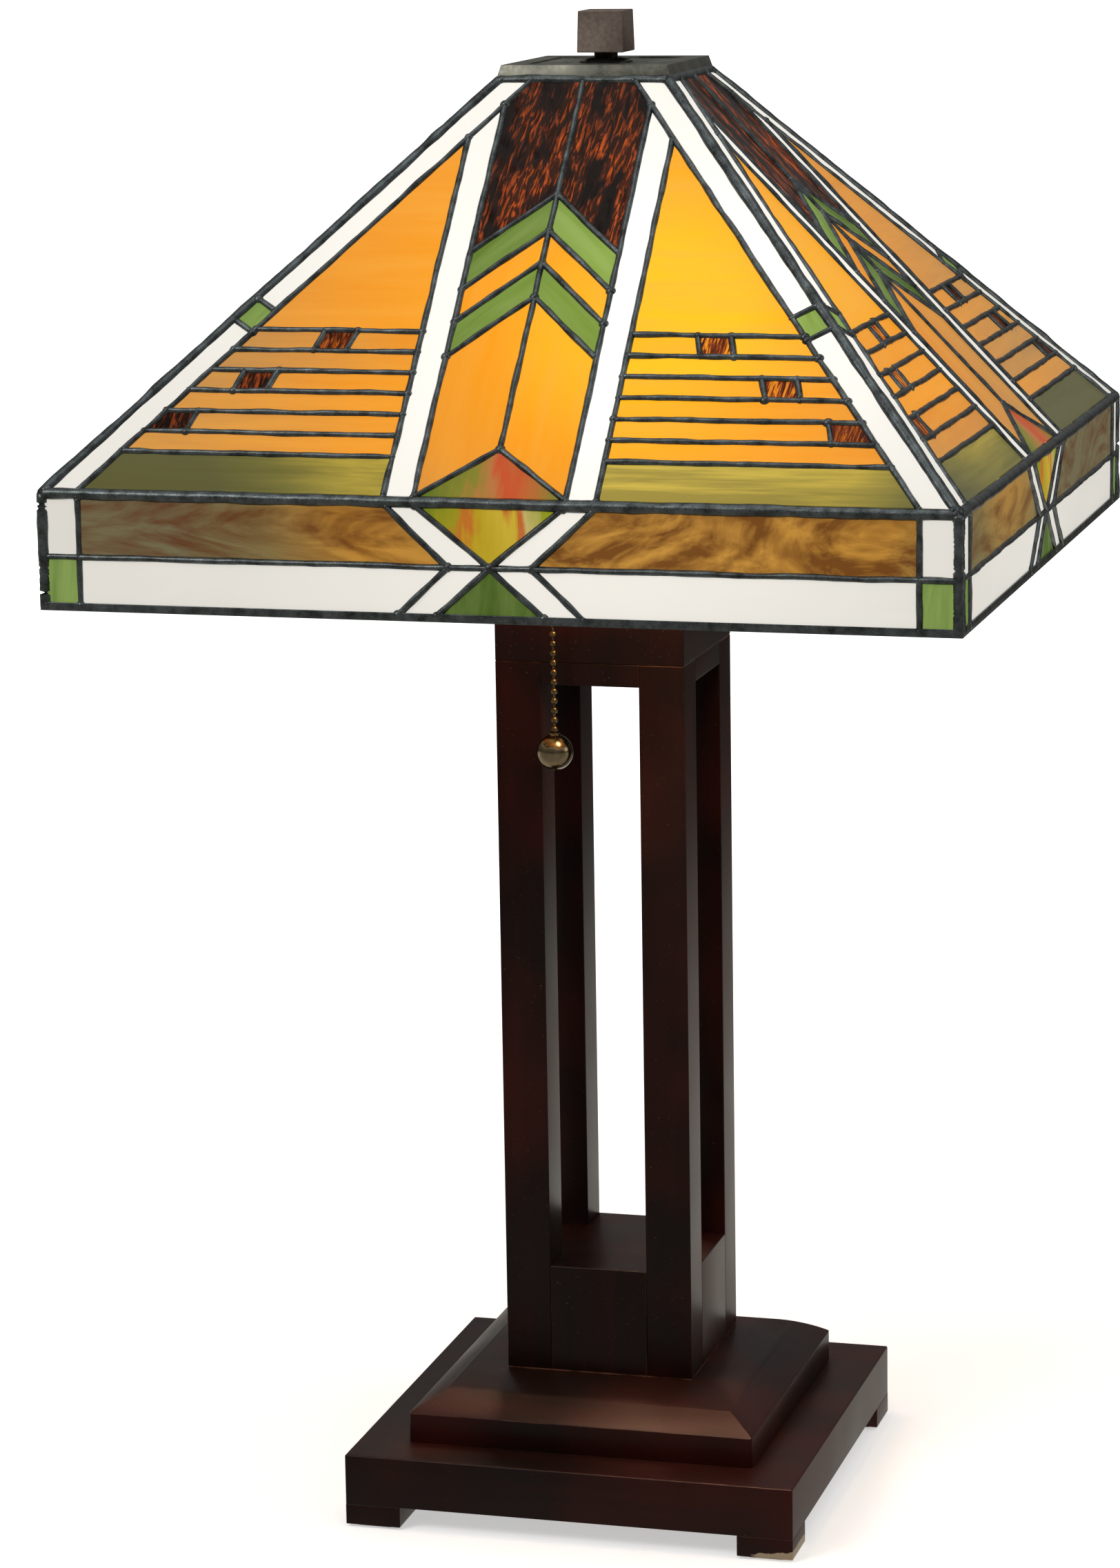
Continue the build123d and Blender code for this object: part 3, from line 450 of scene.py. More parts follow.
# ---------------------------------------------------------------- wood finish
def wood_finish(name, stretch, glue_line=None, chip=None):
    """Dark mahogany stain under satin lacquer, the grain along one axis."""
    f = Finish(name, Specular_IOR_Level=0.15)
    grain = f.noise(1.0, 5.0, stretch=stretch, rough=0.6, twist=0.3)
    pores = f.noise(1.0, 2.0, stretch=tuple(4.2 * s for s in stretch), rough=0.5)
    cloud = f.noise(11.0, 2.0)
    colour = f.ramp(grain, (0.25, rgb(14, 6, 5)), (0.52, rgb(29, 10, 7)), (0.78, rgb(46, 15, 10)))
    red = f.ramp(cloud, (0.43, rgb(17, 8, 6)), (0.68, rgb(74, 18, 10)))
    colour = f.mix(0.45, colour, red)
    wear = f.node("Attribute", {"attribute_name": "wear"}, out="Fac")
    patchy = f.span(f.noise(60.0, 4.0), 0.47, 0.64)
    rubbed = wear * patchy
    colour = f.mix(rubbed * 0.42, colour, rgb(112, 68, 46))
    specks = f.span(f.noise(1300.0, 0.0), 0.83, 0.86)
    colour = f.mix(specks * 0.22, colour, rgb(140, 122, 108))
    height = f.node("SeparateXYZ", {}, {0: f.place}, out=2)
    if chip is not None:  # bare wood along the foot's lower edge, deepest at its corner
        across = f.node("SeparateXYZ", {}, {0: f.place}, out=0)
        edge = chip.z + 1.2 * MM + f.span(across, chip.x - 20 * MM, chip.x, 0.0, 2.6 * MM)
        ragged = height + (f.noise(260.0, 2.0) - 0.5) * 2.4 * MM
        bare = f.node("Math", {"operation": "LESS_THAN"}, {0: ragged, 1: edge})
        bare = bare * f.span(across, chip.x - 19 * MM, chip.x - 16 * MM)
        colour = f.mix(bare * 0.85, colour, rgb(178, 158, 132))
    if glue_line is not None:
        line = f.span(height, glue_line + 0.5 * MM, glue_line + 1.0 * MM, 1.0, 0.0)
        broken = f.span(f.noise(90.0, 3.0), 0.36, 0.6, 0.15, 0.8)
        colour = f.mix(line * broken, colour, rgb(146, 98, 76))
    bump = f.bump(grain * 0.5 + pores * 0.5, 0.12, 0.0004)
    return f.feed(Base_Color=colour, Normal=bump,
                  Roughness=f.span(cloud, 0.3, 0.7, 0.30, 0.42) - rubbed * 0.06)


UPRIGHT_GRAIN, LEVEL_GRAIN = (90, 90, 6), (6, 90, 90)
ROUND = 0.45 * MM
foot_low, foot_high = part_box("foot_front_right")
upright_wood = wood_finish("mahogany_upright", UPRIGHT_GRAIN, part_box("column_bottom_rail")[0].z)
level_wood = wood_finish("mahogany_level", LEVEL_GRAIN)
chipped_wood = wood_finish("mahogany_chipped", LEVEL_GRAIN,
                           chip=Vector((foot_high.x, 0, foot_low.z)))

for corner in ("front_left", "front_right", "rear_left", "rear_right"):
    piece(f"foot_block_{corner}", softened(f"foot_{corner}", ROUND), "base",
          chipped_wood if corner == "front_right" else level_wood, [f"foot_{corner}"])
    piece(f"pillar_post_{corner}", softened(f"post_{corner}", ROUND), "base", upright_wood,
          [f"post_{corner}"])
for node in ("lower_plinth", "upper_plinth", "column_bottom_rail", "column_top_rail",
             "column_cap_block"):
    piece(f"{node}_wood", softened(node, ROUND), "base",
          level_wood if "plinth" in node else upright_wood, [node])


# ---------------------------------------------------------------- metal finishes
def metal_finish(name, dark, light, roughness, metallic=1.0, scale=40.0, bump=0.15,
                 depth=0.2 * MM, gloss=0.5):
    """Metal, paint or moulding, mottled between two colours."""
    f = Finish(name, Metallic=metallic, Specular_IOR_Level=gloss)
    mottle = f.noise(scale, 5.0)
    fine = f.noise(scale * 9, 3.0)
    return f.feed(Base_Color=f.mix(f.span(mottle * 0.75 + fine * 0.25, 0.35, 0.66), dark, light),
                  Roughness=f.span(fine, 0.3, 0.7, roughness - 0.07, roughness + 0.09),
                  Normal=f.bump(mottle * 0.6 + fine * 0.4, bump, depth))


solder = metal_finish("dark_solder", rgb(48, 51, 51), rgb(104, 112, 114), 0.34, metallic=0.85,
                      scale=160.0, bump=0.4, depth=0.5 * MM)
cap_metal = metal_finish("dull_pewter", rgb(66, 69, 63), rgb(126, 125, 114), 0.40, metallic=0.8,
                         scale=55.0)
bronze = metal_finish("bronze_paint", rgb(98, 86, 79), rgb(124, 110, 101), 0.5, metallic=0.1,
                      scale=500.0, bump=0.25, depth=0.1 * MM, gloss=0.2)
washer_paint = metal_finish("black_paint", rgb(12, 12, 12), rgb(26, 25, 24), 0.3, metallic=0.2,
                            scale=90.0)
brass = metal_finish("antique_brass", rgb(66, 54, 36), rgb(138, 114, 74), 0.24, scale=120.0,
                     bump=0.06)
dark_brass = metal_finish("darkened_brass", rgb(26, 21, 15), rgb(52, 42, 28), 0.36, scale=120.0,
                          bump=0.06)
ball_brass = metal_finish("polished_antique_brass", rgb(98, 86, 66), rgb(142, 128, 100), 0.17,
                          scale=60.0, bump=0.03)
zinc = metal_finish("zinc_plate", rgb(130, 131, 133), rgb(190, 190, 192), 0.32)


# ---------------------------------------------------------------- shade: panes and leads
shade_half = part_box("skirt_came_front")[1].x
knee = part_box("skirt_came_front")[1].z
skirt_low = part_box("rim_channel")[0].z
lead_half = 1.3 * MM
lead_depth = 1.6 * MM
glass_thick = 2.2 * MM
glass_depth = 0.5 * MM
GLASSES = ("white", "green", "amber", "brown", "olive", "sunset", "swirl")
SAME_LEAD = 0.35 * MM      # leads whose middles differ less are one lead
SAME_RUN = 14 * MM         # shorter gaps along a lead are crossings, not its end
MEETING = 8 * MM           # how far a lead's end may be from the lead it meets
BORDER = 4 * MM            # the strip along a panel's edges that the seams cover
UPRIGHT = 0.01             # the most that an upright face's normal may lean


def front_outlines():
    """Each pane of the front slope and skirt: its glass, its normal and its corners."""
    found = {"slope": [], "skirt": []}
    for glass in GLASSES:
        shape = merged(f"{glass}_glass")
        for face in shape.faces:
            normal = face.normal
            if normal.y > -0.5 or abs(normal.x) > UPRIGHT or normal.z < -UPRIGHT:
                continue
            upright = normal.z < UPRIGHT
            heights = [v.co.z for v in face.verts]
            if upright != (min(heights) < knee - 0.5 * MM and max(heights) < knee):
                continue
            middle = face.calc_center_median()
            if abs(middle.x) > -middle.y or middle.y > 0:
                continue
            found["skirt" if upright else "slope"].append(
                (glass, normal.copy(), [v.co.copy() for v in face.verts]))
        shape.free()
    return found


outlines = front_outlines()
slope_normal = max(outlines["slope"], key=lambda item: item[1].z)[1]
slope_up = Vector((0, slope_normal.z, -slope_normal.y))
PANELS = {
    "slope": Matrix.Translation((0, -shade_half, knee))
    @ Matrix((Vector((1, 0, 0)), slope_up, slope_normal)).transposed().to_4x4(),
    "skirt": Matrix.Translation((0, -shade_half, skirt_low))
    @ Matrix((Vector((1, 0, 0)), Vector((0, 0, 1)), Vector((0, -1, 0)))).transposed().to_4x4(),
}
flat = {panel: [(glass, [(PANELS[panel].inverted() @ c).to_2d() for c in corners])
                for glass, _, corners in items] for panel, items in outlines.items()}


def area(corners):
    """An outline's area, below nothing where it runs clockwise."""
    return sum(a.cross(b) for a, b in zip(corners, corners[1:] + corners[:1])) / 2


for items in flat.values():
    for item in items:
        if area(item[1]) < 0:
            item[1].reverse()


def spread(corners, by):
    """An outline moved outwards on all its sides."""
    made = []
    count = len(corners)
    for k in range(count):
        a, b, c = corners[k - 1], corners[k], corners[(k + 1) % count]
        first, second = (b - a).normalized(), (c - b).normalized()
        out_first, out_second = Vector((first.y, -first.x)), Vector((second.y, -second.x))
        lean = 1 + out_first.dot(out_second)
        made.append(b + (out_first + out_second) * by / max(lean, 0.25))
    return made


def lead_lines(panel):
    """The middle lines of a panel's leading, whole from joint to joint, and their joints."""
    lines = []
    for _, corners in flat[panel]:
        for a, b in zip(corners, corners[1:] + corners[:1]):
            if (b - a).length < 0.2 * MM:
                continue
            run = (b - a).normalized()
            out = Vector((run.y, -run.x))
            if run.x < -1e-4 or (abs(run.x) <= 1e-4 and run.y < 0):
                run = -run
            side = Vector((-run.y, run.x))
            where = (a + out * lead_half).dot(side)
            span = sorted((a.dot(run), b.dot(run)))
            for line in lines:
                if line["run"].dot(run) > 0.99998 and abs(line["where"] - where) < SAME_LEAD:
                    line["spans"].append(span)
                    break
            else:
                lines.append({"run": run, "side": side, "where": where, "spans": [span]})
    whole = []
    for line in lines:
        spans = sorted(line["spans"])
        joined_spans = [list(spans[0])]
        for low, high in spans[1:]:
            if low - joined_spans[-1][1] < SAME_RUN:
                joined_spans[-1][1] = max(high, joined_spans[-1][1])
            else:
                joined_spans.append([low, high])
        whole += [{**line, "low": low, "high": high} for low, high in joined_spans]
    joints = []
    for line in whole:
        for end in ("low", "high"):
            best = None
            for other in whole:
                turn = line["run"].cross(other["run"])
                if abs(turn) < 0.05:
                    continue
                meet = line["side"] * line["where"]
                reach = (other["where"] - meet.dot(other["side"])) / line["run"].dot(other["side"])
                point = meet + line["run"] * reach
                on_other = point.dot(other["run"])
                near = abs(reach - line[end]) < MEETING
                if near and other["low"] - MEETING < on_other < other["high"] + MEETING:
                    if best is None or abs(reach - line[end]) < abs(best[0] - line[end]):
                        best = (reach, point)
            if best:
                line["new_" + end] = best[0]
                joints.append(best[1])
    for line in whole:
        for end in ("low", "high"):
            line[end] = line.get("new_" + end, line[end])
    return whole, joints


panel_top = max(c.y for _, corners in flat["slope"] for c in corners)
shade_top = min(abs(c.x) for _, corners in flat["slope"] for c in corners
                if c.y > panel_top - 1 * MM and abs(c.x) > 30 * MM) + 2.5 * MM
skirt_top = knee - skirt_low
solder_run, solder_joint = bead_tree(), blob_tree()


def on_border(panel, line):
    """Whether a lead is one of the panel's own edges, which the seams cover."""
    level, upright = abs(line["run"].y) < 0.02, abs(line["run"].x) < 0.02
    height = line["where"] * (1 if line["run"].x > 0 else -1)
    if panel == "skirt":
        return (level and (height < BORDER or height > skirt_top - BORDER)) or (
            upright and abs(line["where"]) > shade_half - BORDER)
    if level:
        return height < BORDER or height > panel_top - BORDER / 2
    point = line["side"] * line["where"] + line["run"] * (line["low"] + line["high"]) / 2
    slant = math.atan2(shade_half - shade_top, panel_top)
    inset = (shade_half - abs(point.x)) * math.cos(slant) - point.y * math.sin(slant)
    return inset < BORDER


def leading(panel, side):
    """All the solder of one panel, as one shape in the lamp's frame."""
    lines, joints = lead_lines(panel)
    sunk = Vector((0, 0, lead_depth))
    runs = [[(line["side"] * line["where"] + line["run"] * line[end]).to_3d() - sunk
             for end in ("low", "high")] for line in lines if not on_border(panel, line)]
    made = grown(solder_run, lines_mesh(runs), Half_Width=1.55 * MM, Half_Height=2.45 * MM,
                 Step=1.6 * MM, Unevenness=0.7, Wander=1.1 * MM,
                 Seed=3.0 * side + (panel == "skirt"), Finish=solder)
    spots = bpy.data.meshes.new("work")
    spots.from_pydata([p.to_3d() - sunk for p in joints], [], [])
    drops = grown(solder_joint, spots, Radius=1.9 * MM, Height=2.7 * MM, Least=0.75, Most=1.35,
                  Seed=side + 7, Finish=solder)
    shape = joined([made, drops])
    shape.transform(TURNS[side] @ PANELS[panel])
    return shape


for side, name in enumerate(SIDE_NAMES):
    for panel in ("slope", "skirt"):
        piece(f"{panel}_leading_{name}", to_mesh(leading(panel, side), 180), "shade", solder,
              [f"{panel}_came_{name}"])


def seams():
    """The fat rounded beads where the panels meet: hips, knee, corners and the top edge."""
    sink = 1.4 * MM
    low, high = shade_half - sink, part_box("shade_cap")[1].x - sink
    knee_z, cap_z = knee - sink * 0.6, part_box("shade_cap")[0].z - sink * 0.4
    runs = []
    for x, y in CORNERS:
        knee_corner, cap_corner = (Vector((x * low, y * low, knee_z)),
                                   Vector((x * high, y * high, cap_z)))
        runs.append([knee_corner, cap_corner])
        runs.append([knee_corner, Vector((x * low, y * low, skirt_low + 1 * MM))])
        runs.append([knee_corner, Vector((-y * low, x * low, knee_z))])
        runs.append([cap_corner, Vector((-y * high, x * high, cap_z))])
    beads = grown(solder_run, lines_mesh(runs), Half_Width=2.5 * MM, Half_Height=2.5 * MM,
                  Step=1.7 * MM, Unevenness=0.6, Wander=1.1 * MM, Seed=21.0, Finish=solder)
    return to_mesh(joined([beads]), 180)


piece("shade_seams", seams(), "shade", solder)


# ---------------------------------------------------------------- shade: glass
MIDDLE_AMBER = 32 * MM     # the amber panes nearer the middle than this have upright streaks
HIP_GREEN = 60 * MM        # the green panes further out than this are the pale ones on the hips


def pane_net(corners, step):
    """A pane's outline, let in under the leads and cut into a net for its uneven face."""
    shape = bmesh.new()
    outline = spread(corners, 0.55 * MM)
    shape.faces.new([shape.verts.new(c.to_3d()) for c in outline])
    for axis in (0, 1):
        low, high = min(c[axis] for c in outline), max(c[axis] for c in outline)
        cuts = int((high - low) / step)
        for k in range(1, cuts + 1):
            at, across = [0.0, 0.0, 0.0], [0.0, 0.0, 0.0]
            at[axis] = low + k * (high - low) / (cuts + 1)
            across[axis] = 1.0
            bmesh.ops.bisect_plane(shape, geom=shape.verts[:] + shape.edges[:] + shape.faces[:],
                                   plane_co=at, plane_no=across, dist=1e-7)
    return shape


def pane_tone(glass, panel, side, middle, size, draw):
    """Which part of its sheet a pane was cut from: 0 the deepest colour, 1 the palest; for the
    olive and swirl panes it is painted light and shade by side instead.
    """
    chance = draw.random()
    if glass == "sunset":
        return 1.0 if panel == "skirt" else 0.0
    if glass == "brown":
        return 1.0 if size < 0.0006 else 0.0
    if glass == "amber" and abs(middle.x) < MIDDLE_AMBER:
        return 0.25 * chance
    if glass == "green" and (panel == "skirt" or abs(middle.x) > HIP_GREEN):
        return 1.0 if abs(middle.x) > HIP_GREEN else 0.15
    if glass == "swirl" and middle.x < 0 and side % 2 == 0:
        return 0.4
    # Painted light and shade: the olive and swirl panes take a pale tone on the front and rear,
    # which the bulbs face, and the deepest tone on the right and left.
    if glass in ("swirl", "olive"):
        return 0.0 if side % 2 else 0.8 + 0.2 * chance
    return chance


def pane_grain(glass, panel, middle, corners):
    """Which way a pane's streaks run in its panel's plane."""
    if glass == "brown" or (panel == "skirt" and glass == "green"):
        return Vector((0.1, 1.0)).normalized()
    if glass == "amber":
        return Vector((0.04, 1.0)) if abs(middle.x) < MIDDLE_AMBER else Vector((1.0, 0.02))
    if glass in ("sunset", "olive", "swirl"):
        return Vector((1.0, 0.0))
    start, end = max(zip(corners, corners[1:] + corners[:1]), key=lambda e: (e[1] - e[0]).length)
    return (end - start).normalized()


def unevenness(glass, p, side, number):
    """How far a pane's outer face stands proud at a point: ripples, or a faint waviness."""
    if glass != "brown":
        return noise.noise(Vector((p.x * 45, p.y * 45, side * 7.1 + number))) * 0.05 * MM
    ripple = noise.noise(Vector((p.x * 420, p.y * 120, side * 7.1 + number)))
    ripple += 0.5 * noise.noise(Vector((p.x * 800, p.y * 260, side * 3.1 + number)))
    return ripple * 0.32 * MM


def pane(glass, panel, side, number, corners):
    """One pane as a slab in its panel's plane, with its streaks laid along it."""
    draw = random.Random(1000 * side + 100 * (panel == "skirt") + number)
    shape = pane_net(corners, 1.6 * MM if glass == "brown" else 6 * MM)
    streaks = shape.loops.layers.uv.new("UVMap")
    tone = shape.verts.layers.float.new("tone")
    middle = sum(corners, Vector((0, 0))) / len(corners)
    shade_of = pane_tone(glass, panel, side, middle, abs(area(corners)), draw)
    shift = Vector((draw.uniform(0, 9), draw.uniform(0, 9)))
    mirror = -1 if draw.random() < 0.5 else 1
    if glass == "sunset":
        shift, mirror = Vector((0, 0)), 1
    grain = pane_grain(glass, panel, middle, corners)
    stretch = 1.9 if glass == "swirl" and middle.x > 0 else 1.0
    rise = {vert: unevenness(glass, vert.co, side, number) for vert in shape.verts}
    top = list(shape.faces)
    for face in top:
        for loop in face.loops:
            d = loop.vert.co.to_2d() - middle
            laid = Vector((d.dot(grain) * stretch, d.cross(grain) * mirror))
            loop[streaks].uv = laid * 10 + shift
    back = bmesh.ops.extrude_face_region(shape, geom=top)
    moved = [v for v in back["geom"] if isinstance(v, bmesh.types.BMVert)]
    for vert in shape.verts:
        vert.co.z = -glass_depth + rise.get(vert, 0.0)
        vert[tone] = shade_of
    for vert in moved:
        vert.co.z = -glass_depth - glass_thick
    bmesh.ops.recalc_face_normals(shape, faces=shape.faces)
    return shape


def glass_panes(glass, side):
    """All the panes of one glass on one side of the shade, in the lamp's frame."""
    made = []
    for panel in ("slope", "skirt"):
        for number, (kind, corners) in enumerate(flat[panel]):
            if kind == glass:
                shape = pane(glass, panel, side, number, corners)
                shape.transform(TURNS[side] @ PANELS[panel])
                made.append(bpy.data.meshes.new("work"))
                shape.to_mesh(made[-1])
                shape.free()
    return made


# Where the middles of the two bulbs are.
bulbs = [sum(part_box(f"bulb_glass_{m}"), Vector()) / 2 for m in ("front", "rear")]


def lit(f, reach=90 * MM):
    """How strongly the bulbs light the glass, from 0 to about 1."""
    glow = 0.0
    for at in bulbs:
        gap = f.node("VectorMath", {"operation": "DISTANCE"}, {0: f.place, 1: at}, out="Value")
        glow = 1.0 / ((gap / reach) ** 2.0 + 1.0) + glow
    return glow


def art_glass(name, stops, streak, amount, shine, density, spread, vary=0.0, cool=0.0,
              twist=0.6, finer=4.0):
    """Opalescent glass: its colour follows the bulbs' light through the stops, with streaks.

    amount and spread are how strong and how soft the streaks are, density how close they lie
    along and across the grain, shine the light it gives far from and near a bulb, vary and cool
    how much a pane's tone changes its depth and its warmth.
    """
    f = Finish(name, Specular_IOR_Level=0.1, Emission_Strength=1.0)
    along = f.node("TexCoord", out="UV")
    flow = f.noise(1.0, 4.0, at=along, stretch=(*density, 1.0), rough=0.6, twist=twist)
    fine = f.noise(1.0, 3.0, at=along, stretch=(density[0] * 2.2, density[1] * finer, 1.0))
    tone = f.node("Attribute", {"attribute_name": "tone"}, out="Fac")
    light = lit(f)
    colour = f.ramp(light - (1.0 - tone) * cool, *stops)
    mask = f.span(flow * 0.72 + fine * 0.28 + (tone - 0.5) * 0.1,
                  0.5 - spread / 2, 0.5 + spread / 2)
    colour = f.mix(mask * amount, colour, streak)
    depth = tone * vary + (1.0 - vary / 2)
    power = f.span(light, 0.1, 0.8, *shine) * depth
    bump = f.bump(flow * 0.5 + f.noise(55.0, 2.0) * 0.5, 0.12, 0.4 * MM)
    return f.feed(Base_Color=f.dimmed(colour, depth * 0.5), Emission_Color=f.dimmed(colour, power),
                  Normal=bump, Roughness=f.span(fine, 0.3, 0.7, 0.16, 0.24))


def ripple_glass():
    """Deep brown glass with ripples that catch the light from inside as orange glints, all painted:
    the glow follows the bulbs' light, and the base colour is lighter along the glints.
    """
    f = Finish("root_beer_glass", Specular_IOR_Level=0.07, Emission_Strength=1.0)
    along = f.node("TexCoord", out="UV")
    ripple = f.noise(1.0, 3.0, at=along, stretch=(11.0, 66.0, 1.0), rough=0.55, twist=0.8)
    patch = f.noise(1.0, 3.0, at=along, stretch=(3.0, 12.0, 1.0), twist=0.5)
    tone = f.node("Attribute", {"attribute_name": "tone"}, out="Fac")
    light = lit(f)
    glint = f.span(ripple, 0.49, 0.63) * f.span(patch + tone * 0.12, 0.44, 0.60)
    power = f.span(light, 0.25, 0.60, 0.35, 1.0)
    # Painted light: the small pale blocks glow clearer where the bulbs light them strongly.
    pale_and_lit = tone * f.span(light, 0.38, 0.50)
    veil = f.span(patch, 0.42, 0.66) * power
    emit = f.mix(veil * 0.5, rgb(15, 7, 4), rgb(84, 36, 12))
    clear = f.mix(f.span(ripple, 0.34, 0.5), rgb(24, 8, 3), rgb(142, 52, 6))
    emit = f.mix(pale_and_lit * 0.8, emit, clear)
    emit = f.mix(glint * power, emit, f.mix(pale_and_lit, rgb(196, 84, 24), rgb(250, 150, 26)))
    body = f.mix(glint * 0.4, rgb(14, 8, 6), rgb(52, 22, 10))
    return f.feed(Base_Color=body, Emission_Color=emit, Normal=f.bump(ripple, 0.3, 0.4 * MM),
                  Roughness=f.span(patch, 0.3, 0.7, 0.14, 0.22))


def sunset_glass():
    """Glass that runs from green through yellow and red, its streaks upright.

    The deep sheet is in the slopes, the pale one in the skirts.
    """
    f = Finish("sunset_glass", Specular_IOR_Level=0.1, Emission_Strength=1.0)
    along = f.node("TexCoord", out="UV")
    across = f.node("SeparateXYZ", {}, {0: along}, out=0)
    sway = f.noise(1.0, 4.0, at=along, stretch=(22.0, 2.2, 1.0), rough=0.6)
    cloud = f.noise(1.0, 3.0, at=along, stretch=(5.0, 3.0, 1.0), twist=0.5)
    tone = f.node("Attribute", {"attribute_name": "tone"}, out="Fac")
    at = across * 1.5 + 0.5 + (sway - 0.5) * 0.26 + (cloud - 0.5) * 0.34
    deep = f.ramp(at, (0.10, rgb(100, 116, 38)), (0.36, rgb(134, 132, 46)),
                  (0.47, rgb(188, 122, 66)), (0.56, rgb(204, 84, 44)), (0.70, rgb(196, 104, 50)),
                  (0.88, rgb(138, 128, 50)))
    pale = f.ramp(at, (0.06, rgb(122, 138, 34)), (0.28, rgb(164, 156, 36)),
                  (0.36, rgb(206, 116, 44)), (0.43, rgb(196, 168, 38)), (0.60, rgb(216, 186, 60)),
                  (0.67, rgb(204, 104, 44)), (0.73, rgb(212, 194, 120)), (0.84, rgb(158, 164, 36)))
    colour = f.mix(tone, deep, pale)
    # Its glow is painted light from the bulbs behind it, even over the whole pane and no stronger
    # near a bulb.
    return f.feed(Base_Color=f.mix(1.0, colour, (0.5, 0.5, 0.5, 1), blend="MULTIPLY"),
                  Emission_Color=f.mix(1.0, colour, (0.55, 0.55, 0.55, 1), blend="MULTIPLY"),
                  Roughness=f.span(sway, 0.3, 0.7, 0.14, 0.22), Normal=f.bump(sway, 0.1, 0.4 * MM))


glass_finish = {
    "white": art_glass(
        "opal_white_glass", ((0.14, rgb(220, 217, 209)), (0.40, rgb(235, 232, 224)),
                             (0.80, rgb(250, 246, 238))),
        streak=rgb(246, 243, 236), amount=0.35, shine=(0.66, 0.86), density=(0.6, 2.0), spread=0.4),
    "amber": art_glass(
        "amber_glass", ((0.14, rgb(200, 146, 82)), (0.34, rgb(242, 152, 40)),
                        (0.52, rgb(253, 160, 16)), (0.80, rgb(255, 194, 4))),
        streak=rgb(250, 176, 68), amount=0.45, shine=(0.52, 0.70), density=(1.1, 9.0), spread=0.3,
        vary=0.08, cool=0.18),
    "green": art_glass(
        "leaf_green_glass", ((0.14, rgb(96, 124, 62)), (0.40, rgb(80, 110, 38)),
                             (0.80, rgb(120, 148, 48))),
        streak=rgb(150, 172, 96), amount=0.55, shine=(0.50, 0.64), density=(1.4, 8.0), spread=0.26,
        vary=0.6),
    "olive": art_glass(
        "olive_glass", ((0.26, rgb(100, 98, 62)), (0.31, rgb(132, 124, 60)),
                        (0.38, rgb(206, 180, 70)), (0.60, rgb(226, 196, 80))),
        streak=rgb(92, 90, 46), amount=0.62, shine=(0.52, 0.74), density=(0.8, 12.0), spread=0.26,
        cool=0.06),
    "sunset": sunset_glass(),
    "swirl": art_glass(
        "swirl_glass", ((0.19, rgb(120, 112, 82)), (0.24, rgb(138, 122, 76)),
                        (0.30, rgb(198, 142, 58)), (0.45, rgb(206, 150, 66))),
        streak=rgb(98, 50, 20), amount=0.84, shine=(0.56, 0.66), density=(0.9, 3.8), spread=0.22,
        cool=0.07, twist=3.0, finer=2.4),
    "brown": ripple_glass(),
}
for glass in GLASSES:
    slabs = joined([slab for side in range(4) for slab in glass_panes(glass, side)])
    piece(f"{glass}_panes", to_mesh(slabs, 30), "shade", glass_finish[glass],
          [f"{glass}_glass"])


# ---------------------------------------------------------------- cap, rim and finial
for name, node, radius, body, finish, slot in (
        ("shade_cap_plate", "shade_cap", 0.4, "shade", cap_metal, "pewter"),
        ("rim_lead", "rim_channel", 0.25, "shade", solder, "solder"),
        ("finial_cube", "finial_block", 0.5, "finial", bronze, "bronze_paint"),
        ("finial_sleeve", "finial_insert", 0.15, "finial", dark_brass, "aged_brass")):
    piece(name, softened(node, radius * MM), body, finish, [node])

low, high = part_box("finial_washer")
wide, tall, bore = high.x, high.z - low.z, 5.2 * MM
dome = turned([(bore, 0), (wide, 0), (wide, 0.3 * tall), (wide * 0.86, 0.72 * tall),
               (wide * 0.62, tall), (bore, tall)], (0, 0, low.z), (0, 0, 1), 48)
piece("finial_dome", to_mesh(dome, 50), "finial", washer_paint, ["finial_washer"])

# ---------------------------------------------------------------- lamp works
for node in ("riser_pipe", "pipe_fittings", "cluster_body", "socket_cap_front", "socket_cap_rear",
             "socket_shell_front", "socket_shell_rear", "chain_guides", "screw_shells",
             "top_plate", "column_screws", "plate_screws"):
    plated = node in ("top_plate", "column_screws", "plate_screws")
    piece(f"{node}_metal", softened(node, 0.2 * MM), "base", zinc if plated else brass,
          [node])

fibre = metal_finish("fibre_sleeve", rgb(92, 66, 40), rgb(132, 98, 62), 0.8, 0.0, scale=200.0)
phenolic = metal_finish("phenolic", rgb(18, 15, 13), rgb(34, 28, 24), 0.35, 0.0, scale=120.0)
felt = metal_finish("black_felt", rgb(14, 14, 14), rgb(34, 33, 32), 0.95, 0.0, scale=2500.0,
                    bump=0.6, depth=0.3 * MM)
board = metal_finish("hardboard", rgb(66, 42, 26), rgb(92, 60, 36), 0.8, 0.0, scale=400.0)
rubber = metal_finish("rubber", rgb(20, 20, 20), rgb(32, 32, 31), 0.7, 0.0, scale=300.0)
for node, finish, slot in (("socket_liners", fibre, "liner"),
                           ("socket_cores", phenolic, "phenolic"),
                           ("felt_pads", felt, "felt"), ("bottom_cover", board, "board"),
                           ("cord_grommet", rubber, "grommet")):
    piece(f"{node}_piece", softened(node, 0.2 * MM), "base", finish, [node])

